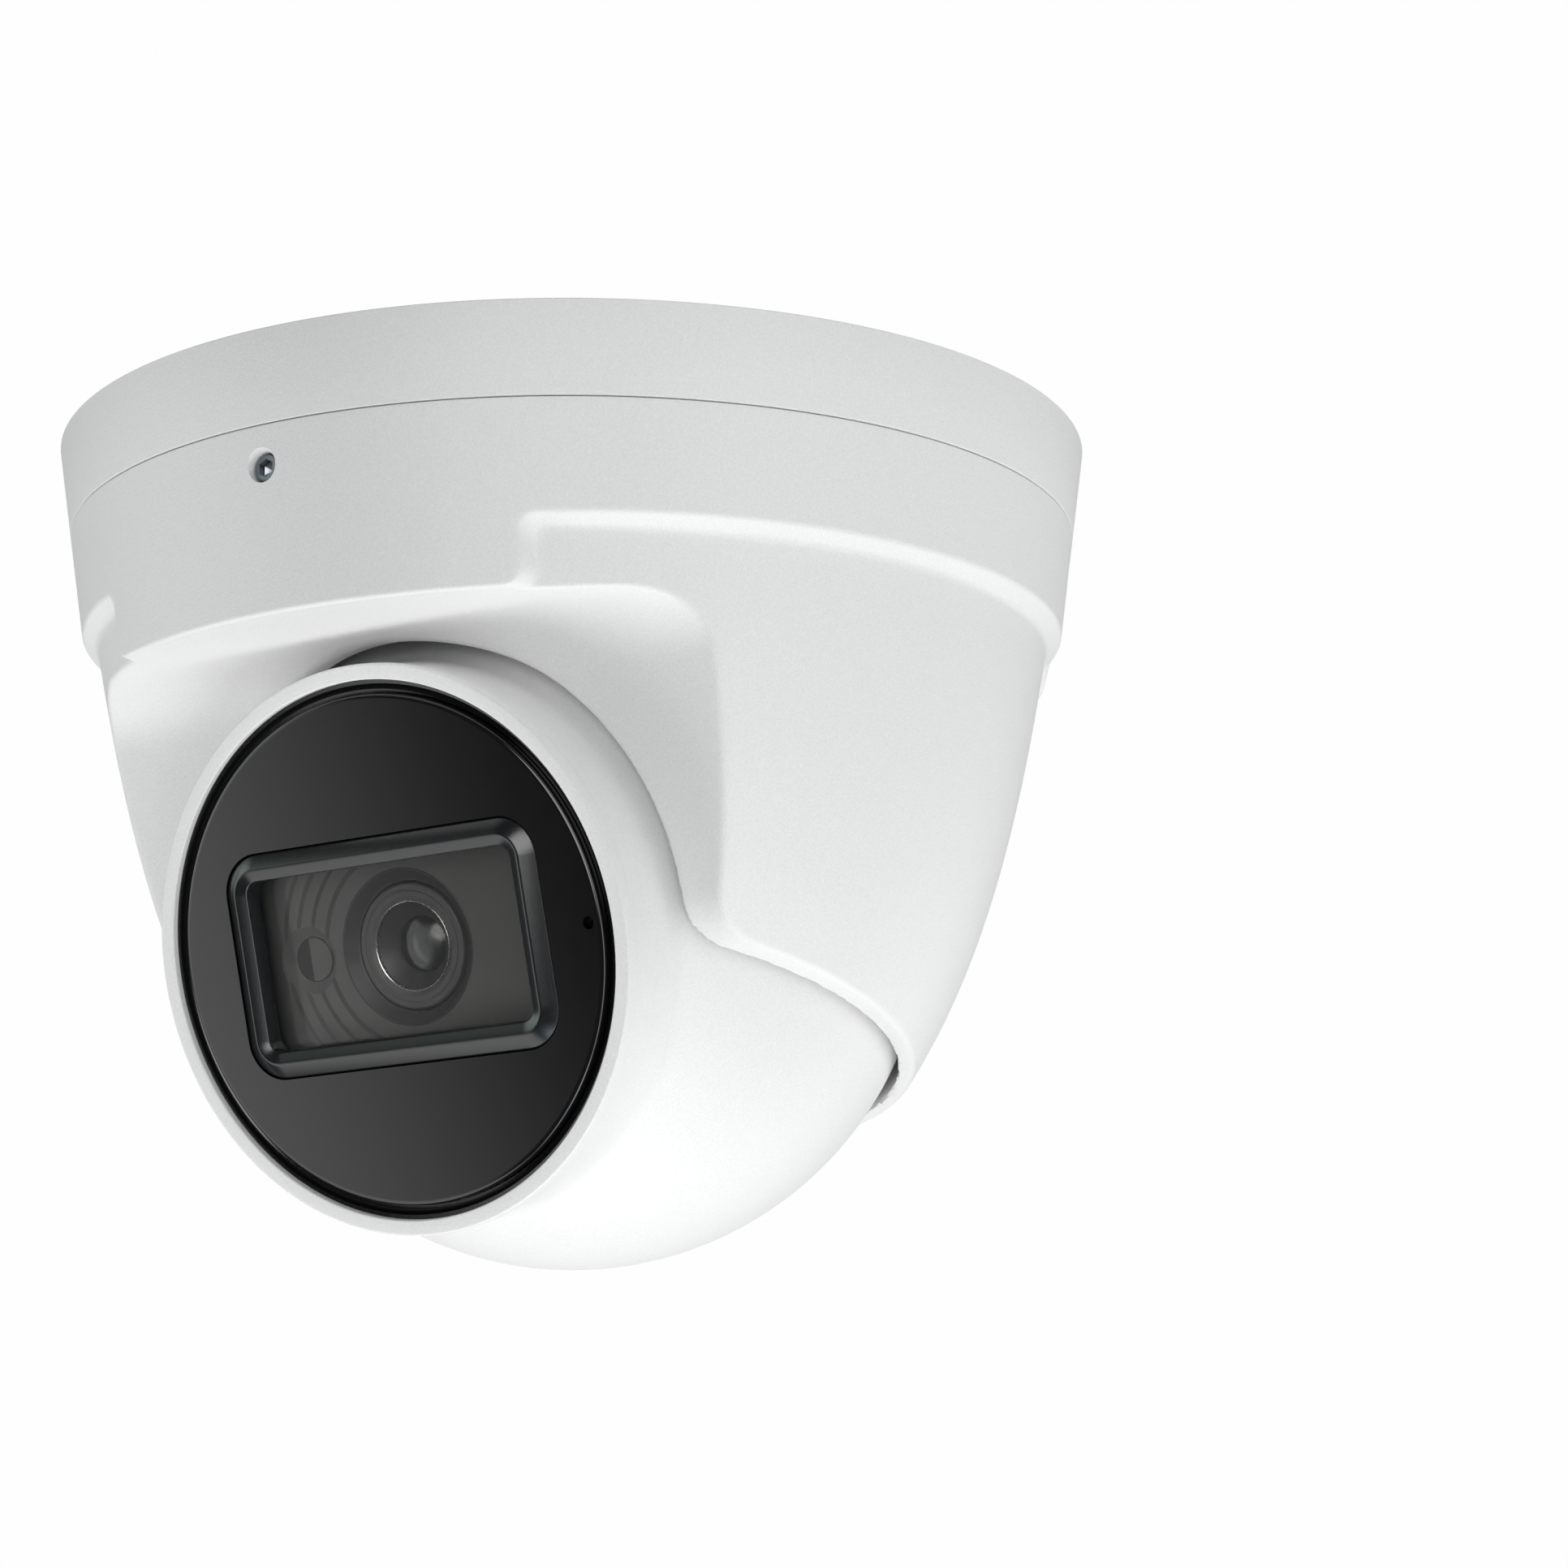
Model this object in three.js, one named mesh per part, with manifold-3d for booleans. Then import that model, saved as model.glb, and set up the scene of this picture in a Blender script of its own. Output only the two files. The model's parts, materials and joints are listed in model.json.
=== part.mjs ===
// Turret CCTV camera: a round base on the ceiling, a cover that pans below it, and a ball that tilts
// and rolls in the cover. Millimetres, +Z up. The origin is the centre of the base's back face, which
// lies against the ceiling. The cover's cut-out and the lens look along -Y.
import * as THREE from "three";
import { mergeVertices } from "three/addons/utils/BufferGeometryUtils.js";
import Module from "manifold-3d";

const wasm = await Module();
wasm.setup();

// ---------------------------------------------------------------- driving dimensions
const GAP = 0.3; // between neighbouring pieces
const BASE_RADIUS = 60;
const SIDE_TAPER = 0.1366; // radius lost per millimetre of depth, on base and cover alike
const SEAM_Z = -10.25; // joint between base and cover
const LEDGE_Z = -22.3; // where the upper band of the cover ends
const BALL_Z = -54; // centre of the ball
const BALL_RADIUS = 40.8;
const SEAT_RADIUS = 41.7; // spherical seat of the cover, around the ball
const REST_TILT = THREE.MathUtils.degToRad(15.4); // lens axis below the horizontal
const FACE_H = 36.2; // front of the black window, ahead of the ball's centre

const PLATE_THICKNESS = 3.6; // back plate of the base
const SPIGOT = { inner: 51.2, outer: 54, bottom: -19.5 };
const LIP = { inner: 54.5, outer: 56.3, top: -7.2 }; // of the cover, inside the skirt of the base
const LOCK_Z = -14.7; // height of the three lock screws
const CABLE_HOLE_RADIUS = 12.2;
const COVER_WALL = 2.8;
const BARREL_RADIUS = 30.9; // of the round nose that stands out of the ball
const BARREL_CLEARANCE = { radius: 32.2, rise: 1 }; // the cover's hole for it, centred above its axis
const SHELL_WALL = 2.4;
const SHELL_SEAM_H = -16; // joint of the two ball shells, behind the ball's centre
const STRAP = { inner: 41.2, outer: 42.6, width: 8 };
const STRAP_EYE = 5.2; // outer radius of the strap's ends, around the pivots
const PIVOT_RADIUS = 2;
const NECK_RADIUS = 5.5;
const WINDOW_RADIUS = 27.9;
const BEZEL = { width: 20.9, height: 12.5, corner: 4.5, ridge: 37.2 }; // half width and half height
const PANE = { width: 20.6, height: 12.2, corner: 4.2 };

const ROUND = 40; // segments of the large turned pieces
const MEDIUM = 20; // of the lens, the neck and the grommet
const SMALL = 12; // and of the small ones

// ---------------------------------------------------------------- geometry helpers
const alongX = new THREE.Matrix4().makeBasis(
  new THREE.Vector3(0, 1, 0),
  new THREE.Vector3(0, 0, 1),
  new THREE.Vector3(1, 0, 0),
);
// The lens frame: +Z along the lens axis, +X to the right and +Y up as seen from the front.
const lensFrame = new THREE.Matrix4()
  .makeTranslation(0, 0, BALL_Z)
  .multiply(new THREE.Matrix4().makeRotationX(Math.PI / 2 + REST_TILT));

// A closed three.js geometry as a manifold solid, without the slivers at a lathe's axis.
function solidOf(geometry) {
  const bare = geometry.clone();
  bare.deleteAttribute("normal");
  bare.deleteAttribute("uv");
  const merged = mergeVertices(bare, 1e-4);
  const index = merged.index.array;
  const kept = [];
  for (let i = 0; i < index.length; i += 3) {
    const [a, b, c] = index.slice(i, i + 3);
    if (a !== b && b !== c && c !== a) kept.push(a, b, c);
  }
  return new wasm.Manifold(
    new wasm.Mesh({
      numProp: 3,
      vertProperties: merged.attributes.position.array,
      triVerts: new Uint32Array(kept),
    }),
  );
}

function geometryOf(solid) {
  const mesh = solid.getMesh();
  const geometry = new THREE.BufferGeometry();
  geometry.setAttribute("position", new THREE.BufferAttribute(mesh.vertProperties, 3));
  geometry.setIndex(new THREE.BufferAttribute(mesh.triVerts, 1));
  geometry.computeVertexNormals();
  return geometry;
}

const join = (first, ...others) =>
  geometryOf(others.reduce((all, one) => all.add(solidOf(one)), solidOf(first)));

const cut = (first, ...tools) =>
  geometryOf(tools.reduce((all, one) => all.subtract(solidOf(one)), solidOf(first)));

const common = (first, second) => geometryOf(solidOf(first).intersect(solidOf(second)));

// A profile of [radius, height] points turned about Z. It starts and ends on the axis, or closes on itself.
function turned(profile, segments = ROUND) {
  const points = profile.map(([radius, height]) => new THREE.Vector2(radius, height));
  if (THREE.ShapeUtils.area(points) < 0) points.reverse();
  const onAxis = points[0].x === 0 && points[points.length - 1].x === 0;
  if (!onAxis) points.push(points[0].clone());
  return geometryOf(solidOf(new THREE.LatheGeometry(points, segments).rotateX(Math.PI / 2)));
}

const rod = (radius, low, high, segments = SMALL) =>
  turned(
    [
      [0, low],
      [radius, low],
      [radius, high],
      [0, high],
    ],
    segments,
  );

const ring = (inner, outer, low, high, segments = SMALL) =>
  turned(
    [
      [inner, low],
      [outer, low],
      [outer, high],
      [inner, high],
    ],
    segments,
  );

const ball = (radius) => new THREE.SphereGeometry(radius, ROUND, 18).rotateX(Math.PI / 2);

const block = (width, depth, low, high) =>
  new THREE.BoxGeometry(width, depth, high - low).translate(0, 0, (low + high) / 2);

// Points of a circular arc in a [radius, height] profile.
function arc(centre, radius, from, to, steps) {
  const points = [];
  for (let i = 0; i <= steps; i++) {
    const angle = from + ((to - from) * i) / steps;
    points.push([centre[0] + radius * Math.cos(angle), centre[1] + radius * Math.sin(angle)]);
  }
  return points;
}

// A closed outline with a rounding radius at each of its [x, y, radius] corners.
function outline(corners) {
  const shape = new THREE.Shape();
  corners.forEach(([x, y, radius], i) => {
    const here = new THREE.Vector2(x, y);
    const last = corners[(i + corners.length - 1) % corners.length];
    const next = corners[(i + 1) % corners.length];
    const back = new THREE.Vector2(last[0] - x, last[1] - y).normalize();
    const ahead = new THREE.Vector2(next[0] - x, next[1] - y).normalize();
    const half = Math.acos(THREE.MathUtils.clamp(back.dot(ahead), -1, 1)) / 2;
    const start = here.clone().addScaledVector(back, radius / Math.tan(half));
    if (i === 0) shape.moveTo(start.x, start.y);
    else shape.lineTo(start.x, start.y);
    if (!radius) return;
    const bisector = back.clone().add(ahead).normalize();
    const centre = here.clone().addScaledVector(bisector, radius / Math.sin(half));
    const end = here.clone().addScaledVector(ahead, radius / Math.tan(half));
    const from = Math.atan2(start.y - centre.y, start.x - centre.x);
    const to = Math.atan2(end.y - centre.y, end.x - centre.x);
    shape.absarc(centre.x, centre.y, radius, from, to, back.cross(ahead) > 0);
  });
  return shape;
}

const roundedRectangle = (width, height, corner) =>
  outline([
    [-width, -height, corner],
    [width, -height, corner],
    [width, height, corner],
    [-width, height, corner],
  ]);

const slab = (shape, low, high, curveSegments = 4) =>
  new THREE.ExtrudeGeometry(shape, {
    depth: high - low,
    bevelEnabled: false,
    curveSegments,
  }).translate(0, 0, low);

// A slab whose outline grows by `size` over the first `thickness` and shrinks back at the other end.
const bevelledSlab = (shape, low, high, size, thickness) =>
  new THREE.ExtrudeGeometry(shape, {
    depth: high - low - 2 * thickness,
    bevelEnabled: true,
    bevelSize: size,
    bevelThickness: thickness,
    bevelSegments: 1,
    curveSegments: 4,
  }).translate(0, 0, low + thickness);

const sideRadius = (z) => BASE_RADIUS + SIDE_TAPER * z;
const sphereHeight = (radius, reach) => Math.sqrt(radius * radius - reach * reach);

// ---------------------------------------------------------------- materials
const finish = (color, roughness, metalness = 0, opacity = 1) =>
  new THREE.MeshStandardMaterial({
    color,
    roughness,
    metalness,
    opacity,
    transparent: opacity < 1,
  });

const white = () => finish(0xe6e6e4, 0.55);
const blackPlastic = () => finish(0x17181a, 0.45);
const glossBlack = () => finish(0x0c0d0e, 0.08);
const clearGlass = () => finish(0xe8f0ee, 0.03, 0, 0.3);
const rubber = () => finish(0x1c1c1c, 0.85);
const foam = () => finish(0x2a2a2a, 0.95);
const steel = () => finish(0xb4b6b8, 0.3, 1);
const aluminium = () => finish(0xa8abad, 0.4, 1);
const nylon = () => finish(0xd8d6cc, 0.6);
const circuitBoard = () => finish(0x1f5a34, 0.5);
const silicon = () => finish(0x30323a, 0.2, 0.3);

const camera = new THREE.Group();

function add(parent, name, geometry, material) {
  const mesh = new THREE.Mesh(geometry, material);
  mesh.name = name;
  parent.add(mesh);
  return mesh;
}

// ---------------------------------------------------------------- base, fixed to the ceiling
const SLOT = { reach: 36, length: 12, width: 6 };
const GASKET = { inner: 50.6, outer: 56.2, depth: 1.3 };
const GROMMET_SEAT = { radius: 14.4, depth: 1.4 };
const SKIRT_INNER = 56.7;
const SKIRT_ROOF = -4.4;

function mountingBase() {
  const skirtBottom = SEAM_Z + GAP / 2;
  const body = turned([
    [GROMMET_SEAT.radius, 0],
    [GASKET.inner, 0],
    [GASKET.inner, -GASKET.depth],
    [GASKET.outer, -GASKET.depth],
    [GASKET.outer, 0],
    [BASE_RADIUS - 0.3, 0],
    [sideRadius(-0.3), -0.3],
    [sideRadius(skirtBottom), skirtBottom],
    [SKIRT_INNER, skirtBottom],
    [SKIRT_INNER, SKIRT_ROOF],
    [SPIGOT.outer, SKIRT_ROOF],
    [SPIGOT.outer, LOCK_Z + 1.7],
    [SPIGOT.outer - 1, LOCK_Z + 0.7],
    [SPIGOT.outer - 1, LOCK_Z - 0.7],
    [SPIGOT.outer, LOCK_Z - 1.7],
    [SPIGOT.outer, SPIGOT.bottom],
    [SPIGOT.inner, SPIGOT.bottom],
    [SPIGOT.inner, -PLATE_THICKNESS],
    [CABLE_HOLE_RADIUS, -PLATE_THICKNESS],
    [CABLE_HOLE_RADIUS, -GROMMET_SEAT.depth],
    [GROMMET_SEAT.radius, -GROMMET_SEAT.depth],
  ]);
  const slotOutline = roundedRectangle(SLOT.length / 2, SLOT.width / 2, SLOT.width / 2 - 0.01);
  const slots = [0, 1, 2].map((i) =>
    slab(slotOutline, -PLATE_THICKNESS - 1, 1)
      .translate(0, SLOT.reach, 0)
      .rotateZ((i * 2 * Math.PI) / 3),
  );
  return cut(body, ...slots);
}

function cableGrommet() {
  const hole = 4.5;
  const neck = CABLE_HOLE_RADIUS - GAP;
  return turned(
    [
      [hole, -0.2],
      [GROMMET_SEAT.radius - GAP, -0.2],
      [GROMMET_SEAT.radius - GAP, GAP - GROMMET_SEAT.depth],
      [neck, GAP - GROMMET_SEAT.depth],
      [neck, -PLATE_THICKNESS - GAP],
      [neck + 1.6, -PLATE_THICKNESS - GAP],
      [neck + 1.6, -PLATE_THICKNESS - GAP - 1],
      [hole + 2.4, -6.4],
      [hole, -6.4],
    ],
    MEDIUM,
  );
}

function addBase() {
  const base = new THREE.Group();
  camera.add(base);
  add(base, "mounting_base", mountingBase(), white());
  const gasket = ring(GASKET.inner + GAP, GASKET.outer - GAP, GAP - GASKET.depth, -0.1, ROUND);
  add(base, "ceiling_gasket", gasket, foam());
  add(base, "cable_grommet", cableGrommet(), rubber());
  const seal = ring(SPIGOT.outer + GAP, SKIRT_INNER - GAP, LIP.top + GAP, SKIRT_ROOF - GAP, ROUND);
  add(base, "pan_seal_ring", seal, rubber());
}

// ---------------------------------------------------------------- turret, pans on the base
const BODY_BOTTOM = -78; // the outer surface is drawn down to here, then cut by the cut-out
const CUTOUT_H = 27; // the cut-out's side faces, ahead of the ball's centre along the lens axis
const BOSS = { radius: 5, start: 44.2, holeEnd: 46.1 };
const CEILING_SLOPE = 0.053;
const RIM_SLOPE = 0.215;
const PLATE_HALF_ANGLE = THREE.MathUtils.degToRad(29.6);
const LOCK_SCREW = { radius: 1.45, inner: 53.3, outer: 57.2 };

// The curved side below the ledge, as [radius, z] points, pulled in by `inset`.
function coverSide(inset, steps) {
  const side = new THREE.CubicBezierCurve(
    new THREE.Vector2(55.1, -23.7),
    new THREE.Vector2(50.16, -52.7),
    new THREE.Vector2(43.93, -66.6),
    new THREE.Vector2(35.7, BODY_BOTTOM),
  );
  return side.getPoints(steps).map((point) => [point.x - inset, point.y]);
}

function coverOutside() {
  const top = SEAM_Z - GAP / 2;
  const body = turned([
    [0, BODY_BOTTOM],
    ...coverSide(0, 10).reverse(),
    [sideRadius(LEDGE_Z) - 0.35, LEDGE_Z - 0.35],
    [sideRadius(LEDGE_Z), LEDGE_Z + 0.15],
    [sideRadius(top - 0.25), top - 0.25],
    [sideRadius(top) - 0.25, top],
    [LIP.outer, top],
    [LIP.outer, LIP.top],
    [0, LIP.top],
  ]);
  return join(body, frontPlate());
}

// The flush plate above the cut-out: the upper band's taper goes on down to the cut-out's edge.
function frontPlate() {
  const [top, bottom, inner, reach] = [-21.5, -36, 46, 90];
  const band = turned([
    [inner, bottom],
    [sideRadius(bottom), bottom],
    [sideRadius(top), top],
    [inner, top],
  ]);
  const side = reach * Math.tan(PLATE_HALF_ANGLE);
  const wedge = slab(
    outline([
      [0, 0, 0],
      [-side, -reach, 0],
      [side, -reach, 0],
    ]),
    bottom - 1,
    top + 1,
  );
  return common(band, wedge);
}

// The hollow stays a wall's thickness away from the outside and from the cut-out.
function coverInside() {
  const shoulder = SPIGOT.bottom - 0.8;
  const side = coverSide(COVER_WALL, 7).filter(([, z]) => z > -67);
  const hollow = turned([
    [0, LIP.top + 1],
    [LIP.inner, LIP.top + 1],
    [LIP.inner, shoulder],
    [sideRadius(LEDGE_Z) - COVER_WALL - 1, LEDGE_Z],
    ...side,
    [0, side[side.length - 1][1]],
  ]);
  const seat = ball(SEAT_RADIUS).translate(0, 0, BALL_Z);
  const bosses = [1, -1].map((side) => {
    const boss = rod(BOSS.radius, BOSS.start, BASE_RADIUS).applyMatrix4(alongX);
    return (side < 0 ? boss.rotateZ(Math.PI) : boss).translate(0, 0, BALL_Z);
  });
  return cut(join(cut(hollow, cutoutTool(COVER_WALL)), seat), ...bosses);
}

// The cut-out seen from the side, as [y, z]: a ceiling, a face across the lens axis and a sloping rim.
// `grow` moves all three into the cover.
function cutoutTool(grow = 0) {
  const far = 80;
  const [sine, cosine] = [Math.sin(REST_TILT), Math.cos(REST_TILT)];
  const ceiling = (y) => -27.55 + grow + CEILING_SLOPE * y;
  const rim = (y) => -69.6 + grow - RIM_SLOPE * y;
  const faceY = (z) => -(CUTOUT_H - grow + (z - BALL_Z) * sine) / cosine;
  const meet = (line, guess) => {
    let y = guess;
    for (let i = 0; i < 20; i++) y = faceY(line(y));
    return [y, line(y)];
  };
  const shape = outline([
    [-far, ceiling(-far), 0],
    [-far, -2 * far, 0],
    [far, -2 * far, 0],
    [far, rim(far), 0],
    [...meet(rim, -25), 7.4],
    [...meet(ceiling, -34), 8.3],
  ]);
  return slab(shape, -far, far, 5).applyMatrix4(alongX);
}

// What the nose needs: a round hole at rest, and as wide a way out of it as the ball tilts down.
function noseClearance() {
  const { radius, rise } = BARREL_CLEARANCE;
  const [start, end, fall] = [20, 60, 12];
  const hole = rod(radius, start, end, ROUND);
  const way = block(2 * radius, fall, start, end).translate(0, -fall / 2, 0);
  return join(hole, way).translate(0, rise, 0).applyMatrix4(lensFrame);
}

// The blind hole for a pivot pin, and a flat pocket around it for the strap's eye and the washer.
function pivotHole(side) {
  const pin = rod(PIVOT_RADIUS + GAP, BOSS.start - 1, BOSS.holeEnd);
  const pocket = rod(STRAP_EYE + GAP, STRAP.inner, BOSS.start);
  const hole = join(pin, pocket).applyMatrix4(alongX);
  return (side < 0 ? hole.rotateZ(Math.PI) : hole).translate(0, 0, BALL_Z);
}

function turretCover() {
  const lockHoles = [0, 1, 2].map((i) =>
    rod(LOCK_SCREW.radius + GAP, 50, BASE_RADIUS)
      .rotateX(Math.PI / 2)
      .rotateZ((i * 2 * Math.PI) / 3)
      .translate(0, 0, LOCK_Z),
  );
  return cut(
    coverOutside(),
    coverInside(),
    cutoutTool(),
    noseClearance(),
    ...lockHoles,
    pivotHole(1),
    pivotHole(-1),
  );
}

// A set screw with a cone point and a hexagon socket, its axis along Z at its real reach.
function lockScrew() {
  const { radius, inner, outer } = LOCK_SCREW;
  const body = turned(
    [
      [0, inner],
      [radius / 2, inner],
      [radius, inner + 0.8],
      [radius, outer],
      [0, outer],
    ],
    SMALL,
  );
  return cut(body, rod(0.95, outer - 1.3, outer + 1, 6));
}

function addTurret() {
  const turret = new THREE.Group();
  camera.add(turret);
  add(turret, "turret_cover", turretCover(), white());
  ["front", "right", "left"].forEach((place, i) => {
    const screw = add(turret, `lock_screw_${place}`, lockScrew(), steel());
    screw.geometry.rotateX(Math.PI / 2);
    screw.rotation.z = (i * 2 * Math.PI) / 3;
    screw.position.z = LOCK_Z;
  });
  for (const [place, side] of [
    ["right", 1],
    ["left", -1],
  ]) {
    const pivots = new THREE.Group();
    pivots.position.z = BALL_Z;
    pivots.rotation.z = side > 0 ? 0 : Math.PI;
    turret.add(pivots);
    const pin = rod(PIVOT_RADIUS, STRAP.inner, BOSS.holeEnd - GAP).applyMatrix4(alongX);
    add(pivots, `tilt_pivot_${place}`, pin, steel());
    const washer = ring(PIVOT_RADIUS + GAP, 4.6, STRAP.outer + GAP, BOSS.start - GAP);
    add(pivots, `friction_washer_${place}`, washer.applyMatrix4(alongX), nylon());
  }
}

// ---------------------------------------------------------------- cradle, tilts in the cover
const STRAP_HOLE = 3.5;

// A half ring behind the ball, with an eye on each pivot and a plate around the neck of the ball.
function tiltCradle() {
  const halfRing = new THREE.Shape();
  halfRing.absarc(0, 0, STRAP.outer, Math.PI, 2 * Math.PI);
  halfRing.absarc(0, 0, STRAP.inner, 2 * Math.PI, Math.PI, true);
  const strap = slab(halfRing, -STRAP.width / 2, STRAP.width / 2, 20).rotateX(Math.PI / 2);
  const eye = rod(STRAP_EYE, STRAP.inner, STRAP.outer).applyMatrix4(alongX);
  const plate = rod(10, -STRAP.outer, -STRAP.inner, MEDIUM);
  const pivotBore = rod(STRAP_HOLE, -BASE_RADIUS, BASE_RADIUS).applyMatrix4(alongX);
  const neckBore = rod(NECK_RADIUS + GAP, -BASE_RADIUS, 0, MEDIUM);
  const body = join(strap, eye, eye.clone().rotateZ(Math.PI), plate);
  return cut(body, pivotBore, neckBore);
}

function addCradle(cradle) {
  add(cradle, "tilt_cradle", tiltCradle(), steel());
  for (const [place, side] of [
    ["right", 1],
    ["left", -1],
  ]) {
    const bush = ring(PIVOT_RADIUS + GAP, STRAP_HOLE - GAP, STRAP.inner, STRAP.outer);
    const mesh = add(cradle, `tilt_bush_${place}`, bush.applyMatrix4(alongX), nylon());
    mesh.rotation.z = side > 0 ? 0 : Math.PI;
  }
  const washer = ring(NECK_RADIUS + GAP, 7.4, -STRAP.outer - 0.7, -STRAP.outer - GAP, MEDIUM);
  add(cradle, "roll_washer", washer, nylon());
}

// ---------------------------------------------------------------- ball, rolls in the cradle
const SHELL_INNER = BALL_RADIUS - SHELL_WALL;
const SHELL_BOSS = { reach: 30.5, radius: 4.2, top: -2.3 };
const SHELL_SCREW_ANGLES = [45, 135, 225, 315].map(THREE.MathUtils.degToRad);
const SEAL_GROOVE = { inner: 35.5, outer: 36.9, depth: 1.1 };
const WINDOW_SEAT = { radius: 29.6, height: 33.2, opening: 26 };
const MICROPHONE_X = 26.3;
const NECK_END = -44.9;
const LENS_HEAD = { radius: 6.9, front: 31.9 };
const LIGHT_SENSOR_X = -13.6;
const LED_Y = 19.5;

// Angle, seen from the ball's centre, of the point of a sphere at the given height.
const sphereAngle = (radius, height) => Math.asin(height / radius);

function screwBoss(angle, low, high) {
  const web = block(10, 5, low, high).translate(SHELL_BOSS.reach + 4, 0, 0);
  const boss = rod(SHELL_BOSS.radius, low, high).translate(SHELL_BOSS.reach, 0, 0);
  const inside = turned([[0, -BALL_RADIUS], ...arc([0, 0], BALL_RADIUS - 1, -1.5, 0, 6), [0, 0]], SMALL);
  return common(join(boss, web), inside).rotateZ(angle);
}

const atScrew = (geometry, angle) =>
  geometry.translate(SHELL_BOSS.reach * Math.cos(angle), SHELL_BOSS.reach * Math.sin(angle), 0);

function ballFrontShell() {
  const fillet = 3;
  const centreR = BARREL_RADIUS + fillet;
  const centreH = sphereHeight(BALL_RADIUS + fillet, centreR);
  const meetH = (centreH * BALL_RADIUS) / (BALL_RADIUS + fillet);
  const filletEnd = Math.PI + Math.atan2(centreH, centreR);
  const body = turned([
    ...arc([0, 0], BALL_RADIUS, sphereAngle(BALL_RADIUS, SHELL_SEAM_H), sphereAngle(BALL_RADIUS, meetH), 9),
    ...arc([centreR, centreH], fillet, filletEnd, Math.PI, 2).slice(1),
    [BARREL_RADIUS + 0.1, FACE_H - 2],
    [BARREL_RADIUS + 0.3, FACE_H - 0.7],
    [BARREL_RADIUS - 0.3, FACE_H + 0.1],
    [WINDOW_SEAT.radius + 0.3, FACE_H + 0.2],
    [WINDOW_SEAT.radius, FACE_H - 0.1],
    [WINDOW_SEAT.radius, WINDOW_SEAT.height],
    [WINDOW_SEAT.opening, WINDOW_SEAT.height],
    ...arc(
      [0, 0],
      SHELL_INNER,
      Math.acos(WINDOW_SEAT.opening / SHELL_INNER),
      sphereAngle(SHELL_INNER, SHELL_SEAM_H),
      5,
    ),
  ]);
  const bosses = SHELL_SCREW_ANGLES.map((angle) => screwBoss(angle, SHELL_SEAM_H, SHELL_BOSS.top));
  const holes = SHELL_SCREW_ANGLES.map((angle) => atScrew(rod(1.5, -20, -7, 10), angle));
  const groove = ring(
    SEAL_GROOVE.inner,
    SEAL_GROOVE.outer,
    SHELL_SEAM_H - 1,
    SHELL_SEAM_H + SEAL_GROOVE.depth,
    ROUND,
  );
  const microphoneHole = rod(1.6, 25, 35, 12).translate(MICROPHONE_X, 0, 0);
  return cut(join(body, ...bosses), ...holes, groove, microphoneHole);
}

function ballRearShell() {
  const seam = SHELL_SEAM_H - GAP;
  const neckInner = 3.8;
  const body = turned([
    ...arc(
      [0, 0],
      BALL_RADIUS,
      -Math.acos(NECK_RADIUS / BALL_RADIUS),
      sphereAngle(BALL_RADIUS, seam),
      7,
    ),
    ...arc(
      [0, 0],
      SHELL_INNER,
      sphereAngle(SHELL_INNER, seam),
      -Math.acos(neckInner / SHELL_INNER),
      5,
    ),
    [neckInner, NECK_END],
    [NECK_RADIUS, NECK_END],
  ]);
  const bosses = SHELL_SCREW_ANGLES.map((angle) => screwBoss(angle, -28, seam));
  const holes = SHELL_SCREW_ANGLES.flatMap((angle) => [
    atScrew(rod(1.5, -30, 0, 10), angle),
    atScrew(rod(2.9, -45, -21.2, 12), angle),
  ]);
  return cut(join(body, ...bosses), ...holes);
}

function shellScrew() {
  const [headLow, headHigh] = [-23.2, -21.5];
  const body = turned(
    [
      [0, headLow],
      [2.6, headLow],
      [2.6, headHigh],
      [1.2, headHigh],
      [1.2, -7.5],
      [0, -7.5],
    ],
    12,
  );
  return cut(body, block(3.4, 0.7, headLow - 1, headLow + 0.8), block(0.7, 3.4, headLow - 1, headLow + 0.8));
}

function addShells(eye) {
  add(eye, "ball_front_shell", ballFrontShell(), white());
  add(eye, "ball_rear_shell", ballRearShell(), white());
  const seal = ring(
    SEAL_GROOVE.inner + GAP,
    SEAL_GROOVE.outer - GAP,
    SHELL_SEAM_H,
    SHELL_SEAM_H + SEAL_GROOVE.depth - GAP,
    ROUND,
  );
  add(eye, "shell_seal_ring", seal, rubber());
  SHELL_SCREW_ANGLES.forEach((angle, i) => {
    const screw = add(eye, `shell_screw_${i + 1}`, shellScrew(), steel());
    screw.position.set(SHELL_BOSS.reach * Math.cos(angle), SHELL_BOSS.reach * Math.sin(angle), 0);
  });
  const nutOutside = rod(7.6, NECK_END + 0.1, -STRAP.outer - 1, 6);
  const nut = cut(nutOutside, rod(NECK_RADIUS + GAP, -50, -40, MEDIUM));
  add(eye, "neck_nut", nut, steel());
  add(eye, "neck_gland", ring(2.1, 3.5, NECK_END, -39), rubber());
}

function frontWindow() {
  const bevel = 0.35;
  const disc = turned([
    [0, WINDOW_SEAT.height + GAP],
    [WINDOW_RADIUS, WINDOW_SEAT.height + GAP],
    [WINDOW_RADIUS, FACE_H - bevel],
    [WINDOW_RADIUS - bevel, FACE_H],
    [0, FACE_H],
  ]);
  const hole = roundedRectangle(BEZEL.width + GAP, BEZEL.height + GAP, BEZEL.corner + GAP);
  const pinhole = rod(0.7, 30, 40, 10).translate(MICROPHONE_X, 0, 0);
  return cut(disc, slab(hole, 30, 40), pinhole);
}

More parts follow.
